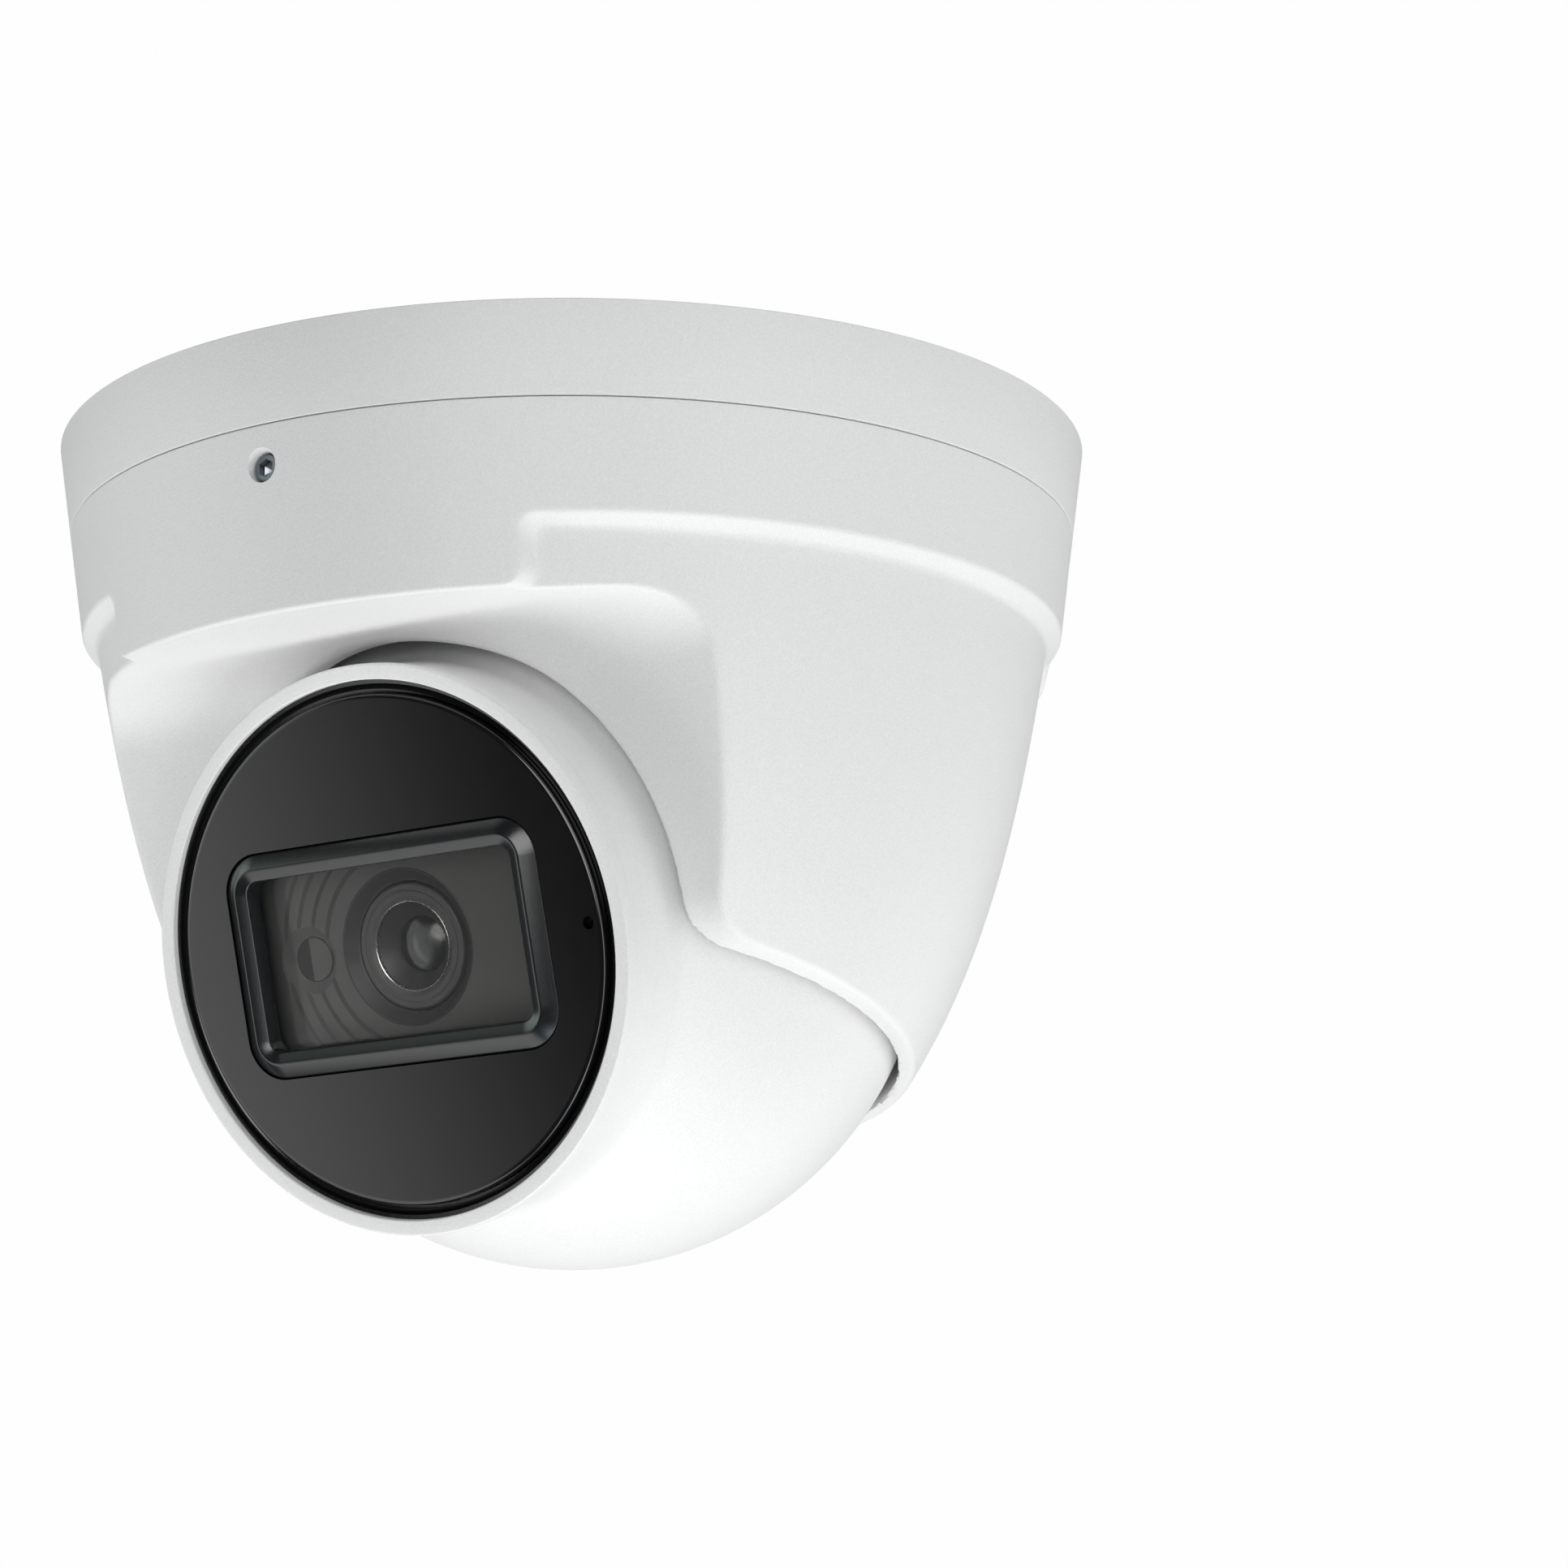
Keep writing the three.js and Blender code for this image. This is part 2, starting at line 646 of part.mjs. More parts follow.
// A raised frame: a bevel up to the ridge outside, a bevel down to the opening inside.
function lensBezel() {
  const { width, height, corner, ridge } = BEZEL;
  const bottom = 34.4;
  const outer = 1.45;
  const inner = 1.1;
  const [openWidth, openHeight, openCorner] = [18.05, 9.45, 2.2];
  const body = bevelledSlab(
    roundedRectangle(width - outer, height - outer, corner - outer),
    bottom - 2,
    ridge,
    outer,
    1,
  );
  const flare = bevelledSlab(
    roundedRectangle(openWidth, openHeight, openCorner),
    ridge - 0.9,
    ridge + 3.9,
    inner,
    0.9,
  );
  const opening = slab(roundedRectangle(openWidth, openHeight, openCorner), 30, 40);
  return cut(body, block(60, 60, 30, bottom), flare, opening);
}

// The dark floor around the lens, with a countersunk hole for it and one for the light sensor.
function lensSurround() {
  const [bottom, top] = [31, 32.8];
  const countersunk = (mouth, throat) =>
    turned(
      [
        [0, bottom - 1],
        [throat, bottom - 1],
        [throat, top - 0.9],
        [mouth, top],
        [mouth, top + 1],
        [0, top + 1],
      ],
      MEDIUM,
    );
  return cut(
    slab(roundedRectangle(PANE.width, PANE.height, PANE.corner), bottom, top),
    countersunk(8.7, LENS_HEAD.radius + GAP),
    countersunk(3.7, 2.7).translate(LIGHT_SENSOR_X, 0, 0),
  );
}

function addFace(eye) {
  const gasket = ring(
    WINDOW_RADIUS + GAP,
    WINDOW_SEAT.radius - GAP,
    WINDOW_SEAT.height + GAP,
    FACE_H - 0.5,
    ROUND,
  );
  add(eye, "window_gasket", gasket, rubber());
  add(eye, "front_window", frontWindow(), glossBlack());
  add(eye, "lens_bezel", lensBezel(), blackPlastic());
  const pane = slab(roundedRectangle(PANE.width, PANE.height, PANE.corner), 33.1, 34.1);
  add(eye, "lens_pane", pane, clearGlass());
  add(eye, "lens_surround", lensSurround(), blackPlastic());
  const sensorWindow = rod(2.4, 31.3, 32.2).translate(LIGHT_SENSOR_X, 0, 0);
  add(eye, "light_sensor_window", sensorWindow, clearGlass());
}

function lensBarrel() {
  const { radius, front } = LENS_HEAD;
  return turned(
    [
      [4.6, 13.2],
      [5.9, 13.2],
      [5.9, 27],
      [radius, 27.4],
      [radius, front - 0.3],
      [radius - 0.3, front],
      [5.5, front],
      [5.5, front - 0.4],
      [4.6, front - 0.4],
      [3.5, 29.4],
      [3.5, 28.4],
      [2.8, 28.4],
      [2.8, 27.4],
      [4.6, 26.4],
    ],
    MEDIUM,
  );
}

function frontGlass() {
  const [radius, edge, rise] = [3.2, 29.2, 0.8];
  const sphere = (radius * radius + rise * rise) / (2 * rise);
  const halfAngle = Math.asin(radius / sphere);
  const dome = arc([0, edge + rise - sphere], sphere, Math.PI / 2 - halfAngle, Math.PI / 2, 3);
  dome[dome.length - 1][0] = 0;
  return turned([[0, edge - 0.5], [radius, edge - 0.5], ...dome], MEDIUM);
}

function addOptics(eye) {
  add(eye, "lens_barrel", lensBarrel(), blackPlastic());
  add(eye, "lens_front_glass", frontGlass(), clearGlass());
  const trim = ring(4.8, 5.2, LENS_HEAD.front - 0.1, LENS_HEAD.front + 0.2, MEDIUM);
  add(eye, "lens_trim_ring", trim, steel());
  const holder = cut(block(16, 16, 8.8, 19), rod(6.2, 0, 30, MEDIUM));
  add(eye, "lens_holder", holder, blackPlastic());
  add(eye, "infrared_filter", rod(5.4, 12.1, 12.7), clearGlass());
  add(eye, "image_sensor", block(8, 8, 8.8, 9.9), silicon());
}

function addElectronics(eye) {
  const corner = 16;
  add(eye, "sensor_board", block(38, 38, 6.9, 8.5), circuitBoard());
  add(eye, "main_board", rod(33, -2, -0.4, 32), circuitBoard());
  [
    [1, 1],
    [-1, 1],
    [-1, -1],
    [1, -1],
  ].forEach(([x, y], i) => {
    const standoff = add(eye, `board_standoff_${i + 1}`, rod(2, -0.1, 6.6, 6), steel());
    standoff.position.set(corner * x, corner * y, 0);
  });
  add(eye, "heat_sink_plate", rod(25.8, -6.4, -4.4, 32), aluminium());
  add(eye, "infrared_board", ring(9.5, 25.4, 26.4, 27.6, 32), circuitBoard());
  for (const [place, y] of [
    ["upper", LED_Y],
    ["lower", -LED_Y],
  ]) {
    const led = turned(
      [
        [0, 27.9],
        [2.7, 27.9],
        [2.7, 29],
        [1.8, 30.4],
        [0, 30.9],
      ],
      12,
    );
    add(eye, `infrared_led_${place}`, led.translate(0, y, 0), clearGlass());
  }
  add(eye, "microphone", rod(1.3, 29, 32.9, 10).translate(MICROPHONE_X, 0, 0), aluminium());
}

// The cradle and the ball share the lens frame: they tilt together, and only the ball rolls.
function addLensFrame() {
  const frame = new THREE.Group();
  frame.applyMatrix4(lensFrame);
  camera.add(frame);
  addCradle(frame);
  addShells(frame);
  addFace(frame);
  addOptics(frame);
  addElectronics(frame);
}

addBase();
addTurret();
addLensFrame();

export default camera;
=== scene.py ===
"""The looks of a turret CCTV camera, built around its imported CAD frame.

Lengths are written in millimetres, as on a drawing, and meshes are made in metres. +Z points up into the
ceiling, and the lens looks towards -Y.
"""

import json
import math

import bmesh
import bpy
import numpy as np
from mathutils import Matrix, Vector


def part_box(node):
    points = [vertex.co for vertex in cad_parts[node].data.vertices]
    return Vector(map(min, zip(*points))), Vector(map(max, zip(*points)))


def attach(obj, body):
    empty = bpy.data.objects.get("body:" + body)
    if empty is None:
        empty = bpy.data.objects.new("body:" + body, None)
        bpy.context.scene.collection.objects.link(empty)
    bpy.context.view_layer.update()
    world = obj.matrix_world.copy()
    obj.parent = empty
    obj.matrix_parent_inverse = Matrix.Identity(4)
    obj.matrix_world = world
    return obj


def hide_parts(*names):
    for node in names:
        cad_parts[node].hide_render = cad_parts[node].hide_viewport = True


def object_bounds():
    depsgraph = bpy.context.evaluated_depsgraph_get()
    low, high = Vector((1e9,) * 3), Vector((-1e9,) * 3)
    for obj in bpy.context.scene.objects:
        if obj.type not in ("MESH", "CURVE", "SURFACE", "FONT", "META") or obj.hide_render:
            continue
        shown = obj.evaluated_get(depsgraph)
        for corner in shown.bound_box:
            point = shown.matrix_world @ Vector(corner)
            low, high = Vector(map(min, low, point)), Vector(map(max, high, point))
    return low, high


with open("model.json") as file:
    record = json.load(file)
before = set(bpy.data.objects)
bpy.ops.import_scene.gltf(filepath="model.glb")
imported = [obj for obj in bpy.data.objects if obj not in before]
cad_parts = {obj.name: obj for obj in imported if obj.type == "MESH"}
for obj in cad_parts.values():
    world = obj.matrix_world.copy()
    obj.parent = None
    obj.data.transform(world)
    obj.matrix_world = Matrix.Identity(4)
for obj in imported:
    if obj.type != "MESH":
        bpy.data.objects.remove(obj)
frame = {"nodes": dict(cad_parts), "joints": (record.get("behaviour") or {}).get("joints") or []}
cad_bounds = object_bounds()

# ---------------------------------------------------------------- dimensions, in millimetres
MM = 0.001
AROUND = 192  # segments of a turned piece
BASE_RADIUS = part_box("mounting_base")[1].x / MM
SIDE_TAPER = 0.1366  # radius lost per millimetre of depth
SEAM_Z = -10.25  # joint between base and cover
BAND_GAP = 0.11  # between base and cover
SEAM_EDGE = 0.16  # radius of the edges along it
SHELL_GAP = 0.3  # between the two ball shells
SEAT_RADIUS = 41.7  # of the cover's seat around the ball
COVER_WALL = 2.8
NOSE_RADIUS = 30.9  # of the round nose that stands out of the ball
NOSE_HOLE = (32.2, 1.0)  # radius, and how far its centre is above the lens axis
NOSE_START = 20  # where that hole starts, ahead of the ball's centre
FACE_H = 36.2  # front of the black window, ahead of the ball's centre
LOCK_Z = sum(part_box("lock_screw_front"), Vector()).z / 2 / MM  # height of the lock screws
BEZEL = (20.9, 12.5, 4.5)  # half width, half height and corner radius
PANE = (20.6, 12.2, 4.2)
LEAST_CORNER = 0.6

joints = {joint["name"]: joint for joint in frame["joints"]}
BALL_Z = joints["roll"]["pos_m"][2] / MM
BALL_RADIUS = BALL_Z - cad_bounds[0].z / MM
LENS_AXIS = Vector(joints["roll"]["axis"])
TILT_COSINE, TILT_SINE = -LENS_AXIS.y, -LENS_AXIS.z


def lens_frame():
    """From the lens frame (x right, y up, z along the lens axis, millimetres) to the part's frame."""
    right = Vector((1, 0, 0))
    up = LENS_AXIS.cross(right)
    turn = Matrix((right, up, LENS_AXIS)).transposed().to_4x4()
    return Matrix.Translation((0, 0, BALL_Z * MM)) @ turn @ Matrix.Scale(MM, 4)


UPRIGHT = Matrix.Scale(MM, 4)
LENS = lens_frame()


# ---------------------------------------------------------------- outlines and loops
def rounded(corners, steps=6):
    """Points of a path through (x, y, radius) corners, each corner rounded by an arc of its radius."""
    points = []
    for i, (x, y, radius) in enumerate(corners):
        here = Vector((x, y))
        if not radius:
            points.append(tuple(here))
            continue
        back = (Vector(corners[i - 1][:2]) - here).normalized()
        ahead = (Vector(corners[(i + 1) % len(corners)][:2]) - here).normalized()
        half = back.angle(ahead) / 2
        centre = here + (back + ahead).normalized() * radius / math.sin(half)
        start = here + back * radius / math.tan(half) - centre
        end = here + ahead * radius / math.tan(half) - centre
        for k in range(steps + 1):
            points.append(tuple(centre + start.slerp(end, k / steps).normalized() * radius))
    return points


def arc(centre, radius, start, end, steps):
    """Points of a circular arc, with its angles in degrees."""
    angles = np.radians(np.linspace(start, end, steps + 1))
    return [(centre[0] + radius * math.cos(a), centre[1] + radius * math.sin(a)) for a in angles]


def circle(radius, height, count=AROUND):
    """A circle of points about Z."""
    angles = np.arange(count) * 2 * math.pi / count
    heights = np.full(count, height)
    return np.stack([radius * np.cos(angles), radius * np.sin(angles), heights], axis=1)


def hexagon(flat, height, count=48):
    """A hexagon with the given half width across flats, with as many points as a circle of `count`."""
    angles = np.arange(count) * 2 * math.pi / count
    sector = math.pi / 3
    reach = flat / np.cos((angles + sector / 2) % sector - sector / 2)
    return circle(1, height, count) * np.stack([reach, reach, np.ones(count)], axis=1)


def rectangle(width, height, corner, level):
    """A rounded rectangle at a level, from its half sizes."""
    corners = [
        (-width, -height, corner),
        (width, -height, corner),
        (width, height, corner),
        (-width, height, corner),
    ]
    return np.array([(x, y, level) for x, y in rounded(corners, steps=10)])


def frame_loops(size, profile):
    """Rounded rectangles that follow a profile of (inset, level) from an outline."""
    width, height, corner = size
    return [rectangle(width - d, height - d, max(corner - d, LEAST_CORNER), level) for d, level in profile]


# ---------------------------------------------------------------- meshes
def new_object(name, points, faces, place):
    """An object from points in millimetres, moved and scaled to its place in metres."""
    mesh = bpy.data.meshes.new(name)
    mesh.from_pydata([place @ Vector(point) for point in points], [], faces)
    mesh.update()
    obj = bpy.data.objects.new(name, mesh)
    bpy.context.scene.collection.objects.link(obj)
    return obj


def outward(obj):
    """Turns every face outwards, and drops the doubled points where a profile touches the axis."""
    work = bmesh.new()
    work.from_mesh(obj.data)
    bmesh.ops.remove_doubles(work, verts=work.verts, dist=1e-7)
    bmesh.ops.recalc_face_normals(work, faces=work.faces)
    work.to_mesh(obj.data)
    work.free()


def loft(name, loops, place, ring=False):
    """A skin over equal loops: closed on itself if it is a ring, else with a flat cap at each end."""
    count, size = len(loops), len(loops[0])
    faces = []
    for i in range(count if ring else count - 1):
        low, high = i * size, (i + 1) % count * size
        for k in range(size):
            after = (k + 1) % size
            faces.append((low + k, low + after, high + after, high + k))
    if not ring:
        faces.append(tuple(range(size)))
        faces.append(tuple((count - 1) * size + k for k in range(size)))
    obj = new_object(name, np.concatenate(loops), faces, place)
    outward(obj)
    return obj


def lathe(name, profile, place, count=AROUND):
    """A profile of (radius, height) turned about Z: solid if it starts at radius 0, else a ring."""
    solid = profile[0][0] == 0
    if solid:
        profile = [point for point in profile if point[0] > 0]
    return loft(name, [circle(r, h, count) for r, h in profile], place, ring=not solid)


def apply_modifiers(obj):
    """Replaces the mesh by what its modifiers make of it."""
    graph = bpy.context.evaluated_depsgraph_get()
    mesh = bpy.data.meshes.new_from_object(obj.evaluated_get(graph))
    obj.modifiers.clear()
    obj.data = mesh


def combine(obj, tools, operation="DIFFERENCE"):
    """Cuts the tools from obj, or keeps what is common to them, and removes the tools."""
    for tool in tools:
        boolean = obj.modifiers.new("combine", "BOOLEAN")
        boolean.operation = operation
        boolean.solver = "EXACT"
        boolean.object = tool
    apply_modifiers(obj)
    for tool in tools:
        bpy.data.objects.remove(tool)


def finish_piece(obj, body, material, nodes=(), crease=35):
    """Smooths a piece's shading up to the crease angle, gives it its material and puts it on its body."""
    obj.data.shade_smooth()
    obj.data.set_sharp_from_angle(angle=math.radians(crease))
    obj.data.materials.clear()
    obj.data.materials.append(material)
    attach(obj, body)
    if nodes:
        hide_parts(*nodes)


# ---------------------------------------------------------------- surfaces of distance functions
def round_max(a, b, radius, cosine=0.0):
    """max(a, b) with a rounded edge. cosine is that of the angle between the two surfaces' normals."""
    u, v = a + radius, b + radius
    square = (u * u + v * v - 2 * u * v * cosine) / (1 - cosine * cosine)
    in_corner = (u > v * cosine) & (v > u * cosine)
    return np.where(in_corner, np.sqrt(np.maximum(square, 0)) - radius, np.maximum(a, b))


def round_min(a, b, radius, cosine=0.0):
    """min(a, b) with a filled corner."""
    return -round_max(-a, -b, radius, cosine)


def line_distance(u, v, start, end):
    """Distance from the line through two points, positive to the left of the way from start to end."""
    du, dv = end[0] - start[0], end[1] - start[1]
    return (-(u - start[0]) * dv + (v - start[1]) * du) / math.hypot(du, dv)


def settled(points, distance, rounds=3, step=0.01):
    """The points moved along the distance's gradient onto its zero surface."""
    for _ in range(rounds):
        value = distance(*points.T)
        slope = []
        for axis in range(3):
            shift = np.zeros(3)
            shift[axis] = step
            slope.append((distance(*(points + shift).T) - distance(*(points - shift).T)) / (2 * step))
        slope = np.stack(slope, axis=1)
        length = np.maximum((slope**2).sum(axis=1), 0.25)
        points = points - slope * (value / length)[:, None]
    return points


def crossing_points(field, mixed):
    """For each mixed cell, the mean of the points where its edges cross the surface, in grid steps."""
    turns = mixed.shape[0]
    corners = list(np.ndindex(2, 2, 2))
    values = {}
    for i, j, k in corners:
        block = field[i : turns + i, j : field.shape[1] - 1 + j, k : field.shape[2] - 1 + k]
        values[i, j, k] = block[mixed]
    total, hits = np.zeros((mixed.sum(), 3)), np.zeros(mixed.sum())
    for start in corners:
        for axis in range(3):
            if start[axis]:
                continue
            end = tuple(1 if other == axis else start[other] for other in range(3))
            a, b = values[start], values[end]
            crosses = (a < 0) != (b < 0)
            share = np.where(crosses, a / np.where(crosses, a - b, 1), 0)
            total += np.array(start) * crosses[:, None]
            total[:, axis] += share
            hits += crosses
    return np.argwhere(mixed) + total / hits[:, None]


def cell_quads(inside, number):
    """A quad through the four cells around each grid edge that crosses the surface."""
    turns = number.shape[0]
    quads = []
    for axis in range(3):
        first = [slice(0, turns), slice(1, -1), slice(1, -1)]
        second = list(first)
        first[axis] = slice(0, turns) if axis == 0 else slice(0, -1)
        second[axis] = slice(1, turns + 1) if axis == 0 else slice(1, None)
        a, b = inside[tuple(first)], inside[tuple(second)]
        edges = np.argwhere(a != b) + [part.start for part in first]
        u, v = (axis + 1) % 3, (axis + 2) % 3
        ring = []
        for du, dv in ((0, 0), (1, 0), (1, 1), (0, 1)):
            cell = edges.copy()
            cell[:, u] -= du
            cell[:, v] -= dv
            cell[:, 0] %= turns
            ring.append(number[tuple(cell.T)])
        quad = np.stack(ring, axis=1)
        flipped = a[a != b]
        quad[flipped] = quad[flipped][:, ::-1]
        quads.append(quad)
    return np.concatenate(quads)


def graded(stops):
    """Grid lines from (start, step) stops: each step holds up to the next stop's start."""
    lines = [np.arange(start, end, step) for (start, step), (end, _) in zip(stops, stops[1:])]
    return np.concatenate(lines)


def turned_surface(name, distance, radii, heights, turns, place):
    """A distance function's zero surface, on a grid of slices about Z, so that turned edges stay clean."""
    angles = np.arange(turns) * 2 * math.pi / turns
    a, r, z = np.meshgrid(angles, radii, heights, indexing="ij")
    field = distance(r * np.cos(a), r * np.sin(a), z)
    field = np.concatenate([field, field[:1]])
    inside = field < 0
    count = np.zeros((turns, len(radii) - 1, len(heights) - 1), np.int8)
    for i, j, k in np.ndindex(2, 2, 2):
        count += inside[i : turns + i, j : len(radii) - 1 + j, k : len(heights) - 1 + k]
    mixed = (count > 0) & (count < 8)
    number = np.full(mixed.shape, -1)
    number[mixed] = np.arange(mixed.sum())
    at = crossing_points(field, mixed)
    angle = at[:, 0] * 2 * math.pi / turns
    radius = np.interp(at[:, 1], np.arange(len(radii)), radii)
    height = np.interp(at[:, 2], np.arange(len(heights)), heights)
    points = np.stack([radius * np.cos(angle), radius * np.sin(angle), height], axis=1)
    points = settled(points, distance)
    return new_object(name, points, cell_quads(inside, number).tolist(), place)


# ---------------------------------------------------------------- materials
def new_material(name):
    """A material with nodes, which notes the record's slot of its own name."""
    material = bpy.data.materials.new(name)
    material["slot"] = name
    material.use_nodes = True
    nodes, links = material.node_tree.nodes, material.node_tree.links
    return material, nodes, links, nodes["Principled BSDF"]


def noise(nodes, links, size, detail=2.0):
    """Noise over the object, with features of the given size in millimetres."""
    coordinates = nodes.new("ShaderNodeTexCoord")
    texture = nodes.new("ShaderNodeTexNoise")
    texture.inputs["Scale"].default_value = 1 / (size * MM)
    texture.inputs["Detail"].default_value = detail
    links.new(coordinates.outputs["Object"], texture.inputs["Vector"])
    return texture.outputs["Fac"]


def spread(nodes, links, value, low, high):
    """Noise lies mostly between 0.3 and 0.7: that range mapped to low and high."""
    scale = nodes.new("ShaderNodeMapRange")
    scale.inputs["From Min"].default_value = 0.3
    scale.inputs["From Max"].default_value = 0.7
    scale.inputs["To Min"].default_value = low
    scale.inputs["To Max"].default_value = high
    links.new(value, scale.inputs["Value"])
    return scale.outputs["Result"]


def moulded(name, color, roughness, grain=0.3, relief=0.01, mottle=0.02, uneven=0.05, metallic=0.0):
    """Plastic, rubber, foam, paint or metal: a fine grain in relief and roughness, and a faint mottle."""
    material, nodes, links, shader = new_material(name)
    shader.inputs["Metallic"].default_value = metallic
    fine = noise(nodes, links, grain)
    links.new(spread(nodes, links, fine, roughness - uneven, roughness + uneven), shader.inputs["Roughness"])
    mix = nodes.new("ShaderNodeMix")
    mix.data_type = "RGBA"
    mix.inputs["A"].default_value = (*(c * (1 - mottle) for c in color), 1)
    mix.inputs["B"].default_value = (*(min(c * (1 + mottle), 1) for c in color), 1)
    blend = noise(nodes, links, grain, 3)
    links.new(spread(nodes, links, blend, 0, 1), mix.inputs["Factor"])
    links.new(mix.outputs["Result"], shader.inputs["Base Color"])
    bump = nodes.new("ShaderNodeBump")
    bump.inputs["Distance"].default_value = relief * MM
    links.new(fine, bump.inputs["Height"])
    links.new(bump.outputs["Normal"], shader.inputs["Normal"])
    return material


def clear(name, tint, gloss_roughness=0.02, ior=1.5):
    """A thin clear piece: what is behind it shows through, tinted, with a reflection on top."""
    material, nodes, links, shader = new_material(name)
    nodes.remove(shader)
    through = nodes.new("ShaderNodeBsdfTransparent")
    through.inputs["Color"].default_value = (*tint, 1)
    gloss = nodes.new("ShaderNodeBsdfGlossy")
    gloss.inputs["Roughness"].default_value = gloss_roughness
    fresnel = nodes.new("ShaderNodeFresnel")
    fresnel.inputs["IOR"].default_value = ior
    mix = nodes.new("ShaderNodeMixShader")
    links.new(fresnel.outputs["Fac"], mix.inputs["Fac"])
    links.new(through.outputs["BSDF"], mix.inputs[1])
    links.new(gloss.outputs["BSDF"], mix.inputs[2])
    links.new(mix.outputs["Shader"], nodes["Material Output"].inputs["Surface"])
    return material


white_coat = moulded("white_coat", (0.82, 0.82, 0.815), 0.5, grain=0.22, relief=0.03, mottle=0.045)
dark_steel = moulded("dark_steel", (0.24, 0.26, 0.28), 0.4, grain=0.15, relief=0.003, metallic=1.0)
steel = moulded("steel", (0.6, 0.6, 0.6), 0.32, grain=0.15, relief=0.003, metallic=1.0)
bright_ring = moulded("bright_ring", (0.7, 0.7, 0.7), 0.25, grain=0.2, relief=0.002, metallic=1.0)
aluminium = moulded("aluminium", (0.66, 0.67, 0.68), 0.4, grain=0.2, relief=0.004, metallic=1.0)
rubber = moulded("rubber", (0.03, 0.03, 0.03), 0.75, grain=0.3, relief=0.02, mottle=0.1)
foam = moulded("foam", (0.05, 0.05, 0.05), 0.9, grain=0.5, relief=0.12, mottle=0.2)
nylon = moulded("nylon", (0.8, 0.79, 0.74), 0.5)
gloss_black = moulded("gloss_black", (0.006, 0.006, 0.006), 0.05, grain=3, relief=0.0004, uneven=0.01)
ring_black = moulded("ring_black", (0.008, 0.008, 0.009), 0.16, grain=0.4, relief=0.002)
satin_black = moulded("satin_black", (0.011, 0.012, 0.013), 0.2, grain=0.12, relief=0.006, mottle=0.1)
lens_floor = moulded("lens_floor", (0.215, 0.215, 0.211), 0.6, grain=0.12, relief=0.004, mottle=0.04)
lens_face = moulded("lens_face", (0.18, 0.18, 0.178), 0.5, grain=0.12, relief=0.003, mottle=0.05)
lens_black = moulded("lens_black", (0.08, 0.08, 0.083), 0.4, grain=0.12, relief=0.003, mottle=0.05)
silicon = moulded("silicon", (0.05, 0.06, 0.08), 0.2)
circuit_board = moulded("circuit_board", (0.03, 0.16, 0.07), 0.4, grain=0.6, mottle=0.15)
clear_pane = clear("clear_pane", (0.88, 0.88, 0.875), ior=1.3)
sensor_window = clear("sensor_window", (0.5, 0.5, 0.5), 0.1)
lens_glass = clear("lens_glass", (0.7, 0.71, 0.72), 0.2, 1.65)
filter_glass = clear("filter_glass", (0.5, 0.75, 0.8))
led_lens = clear("led_lens", (0.9, 0.9, 0.9), 0.05)

CARRIED = [  # the CAD nodes that are kept as they are, by material
    (rubber, ["pan_seal_ring", "shell_seal_ring", "neck_gland"]),
    (steel, ["tilt_pivot_right", "tilt_pivot_left", "tilt_cradle", "neck_nut"]),
    (nylon, ["friction_washer_right", "friction_washer_left", "tilt_bush_right", "tilt_bush_left"]),
    (nylon, ["roll_washer"]),
    (steel, [f"shell_screw_{i}" for i in range(1, 5)]),
    (steel, [f"board_standoff_{i}" for i in range(1, 5)]),
    (circuit_board, ["sensor_board", "main_board", "infrared_board"]),
    (aluminium, ["heat_sink_plate", "microphone"]),
    (satin_black, ["lens_holder"]),
    (silicon, ["image_sensor"]),
    (filter_glass, ["infrared_filter"]),
    (led_lens, ["infrared_led_upper", "infrared_led_lower"]),
]
for material, names in CARRIED:
    for name in names:
        mesh = frame["nodes"][name].data
        mesh.materials.clear()
        mesh.materials.append(material)


# ---------------------------------------------------------------- base
def side_radius(z):
    """Radius of the band's tapered side at a height."""
    return BASE_RADIUS + SIDE_TAPER * z


SLOT_REACH = 36  # from the axis to the middle of a slot for a ceiling screw
SLOT_LENGTH, SLOT_WIDTH = 6, 3  # half of each
SLOT_CORNER = 2.99  # just short of the half width, so that neighbouring corners don't meet
SLOT_CUT = (-8, 4)  # ends of the tool that cuts it


def slot_tool(turn):
    """A prism with round ends, through the base's plate at the radius of the ceiling screws."""
    low, high = SLOT_REACH - SLOT_WIDTH, SLOT_REACH + SLOT_WIDTH
    corners = [(-SLOT_LENGTH, low), (SLOT_LENGTH, low), (SLOT_LENGTH, high), (-SLOT_LENGTH, high)]
    outline = rounded([(x, y, SLOT_CORNER) for x, y in corners], steps=8)
    loops = [np.array([(x, y, z) for x, y in outline]) for z in SLOT_CUT]
    tool = loft("slot_tool", loops, UPRIGHT)
    tool.data.transform(Matrix.Rotation(math.radians(turn), 4, "Z"))
    return tool


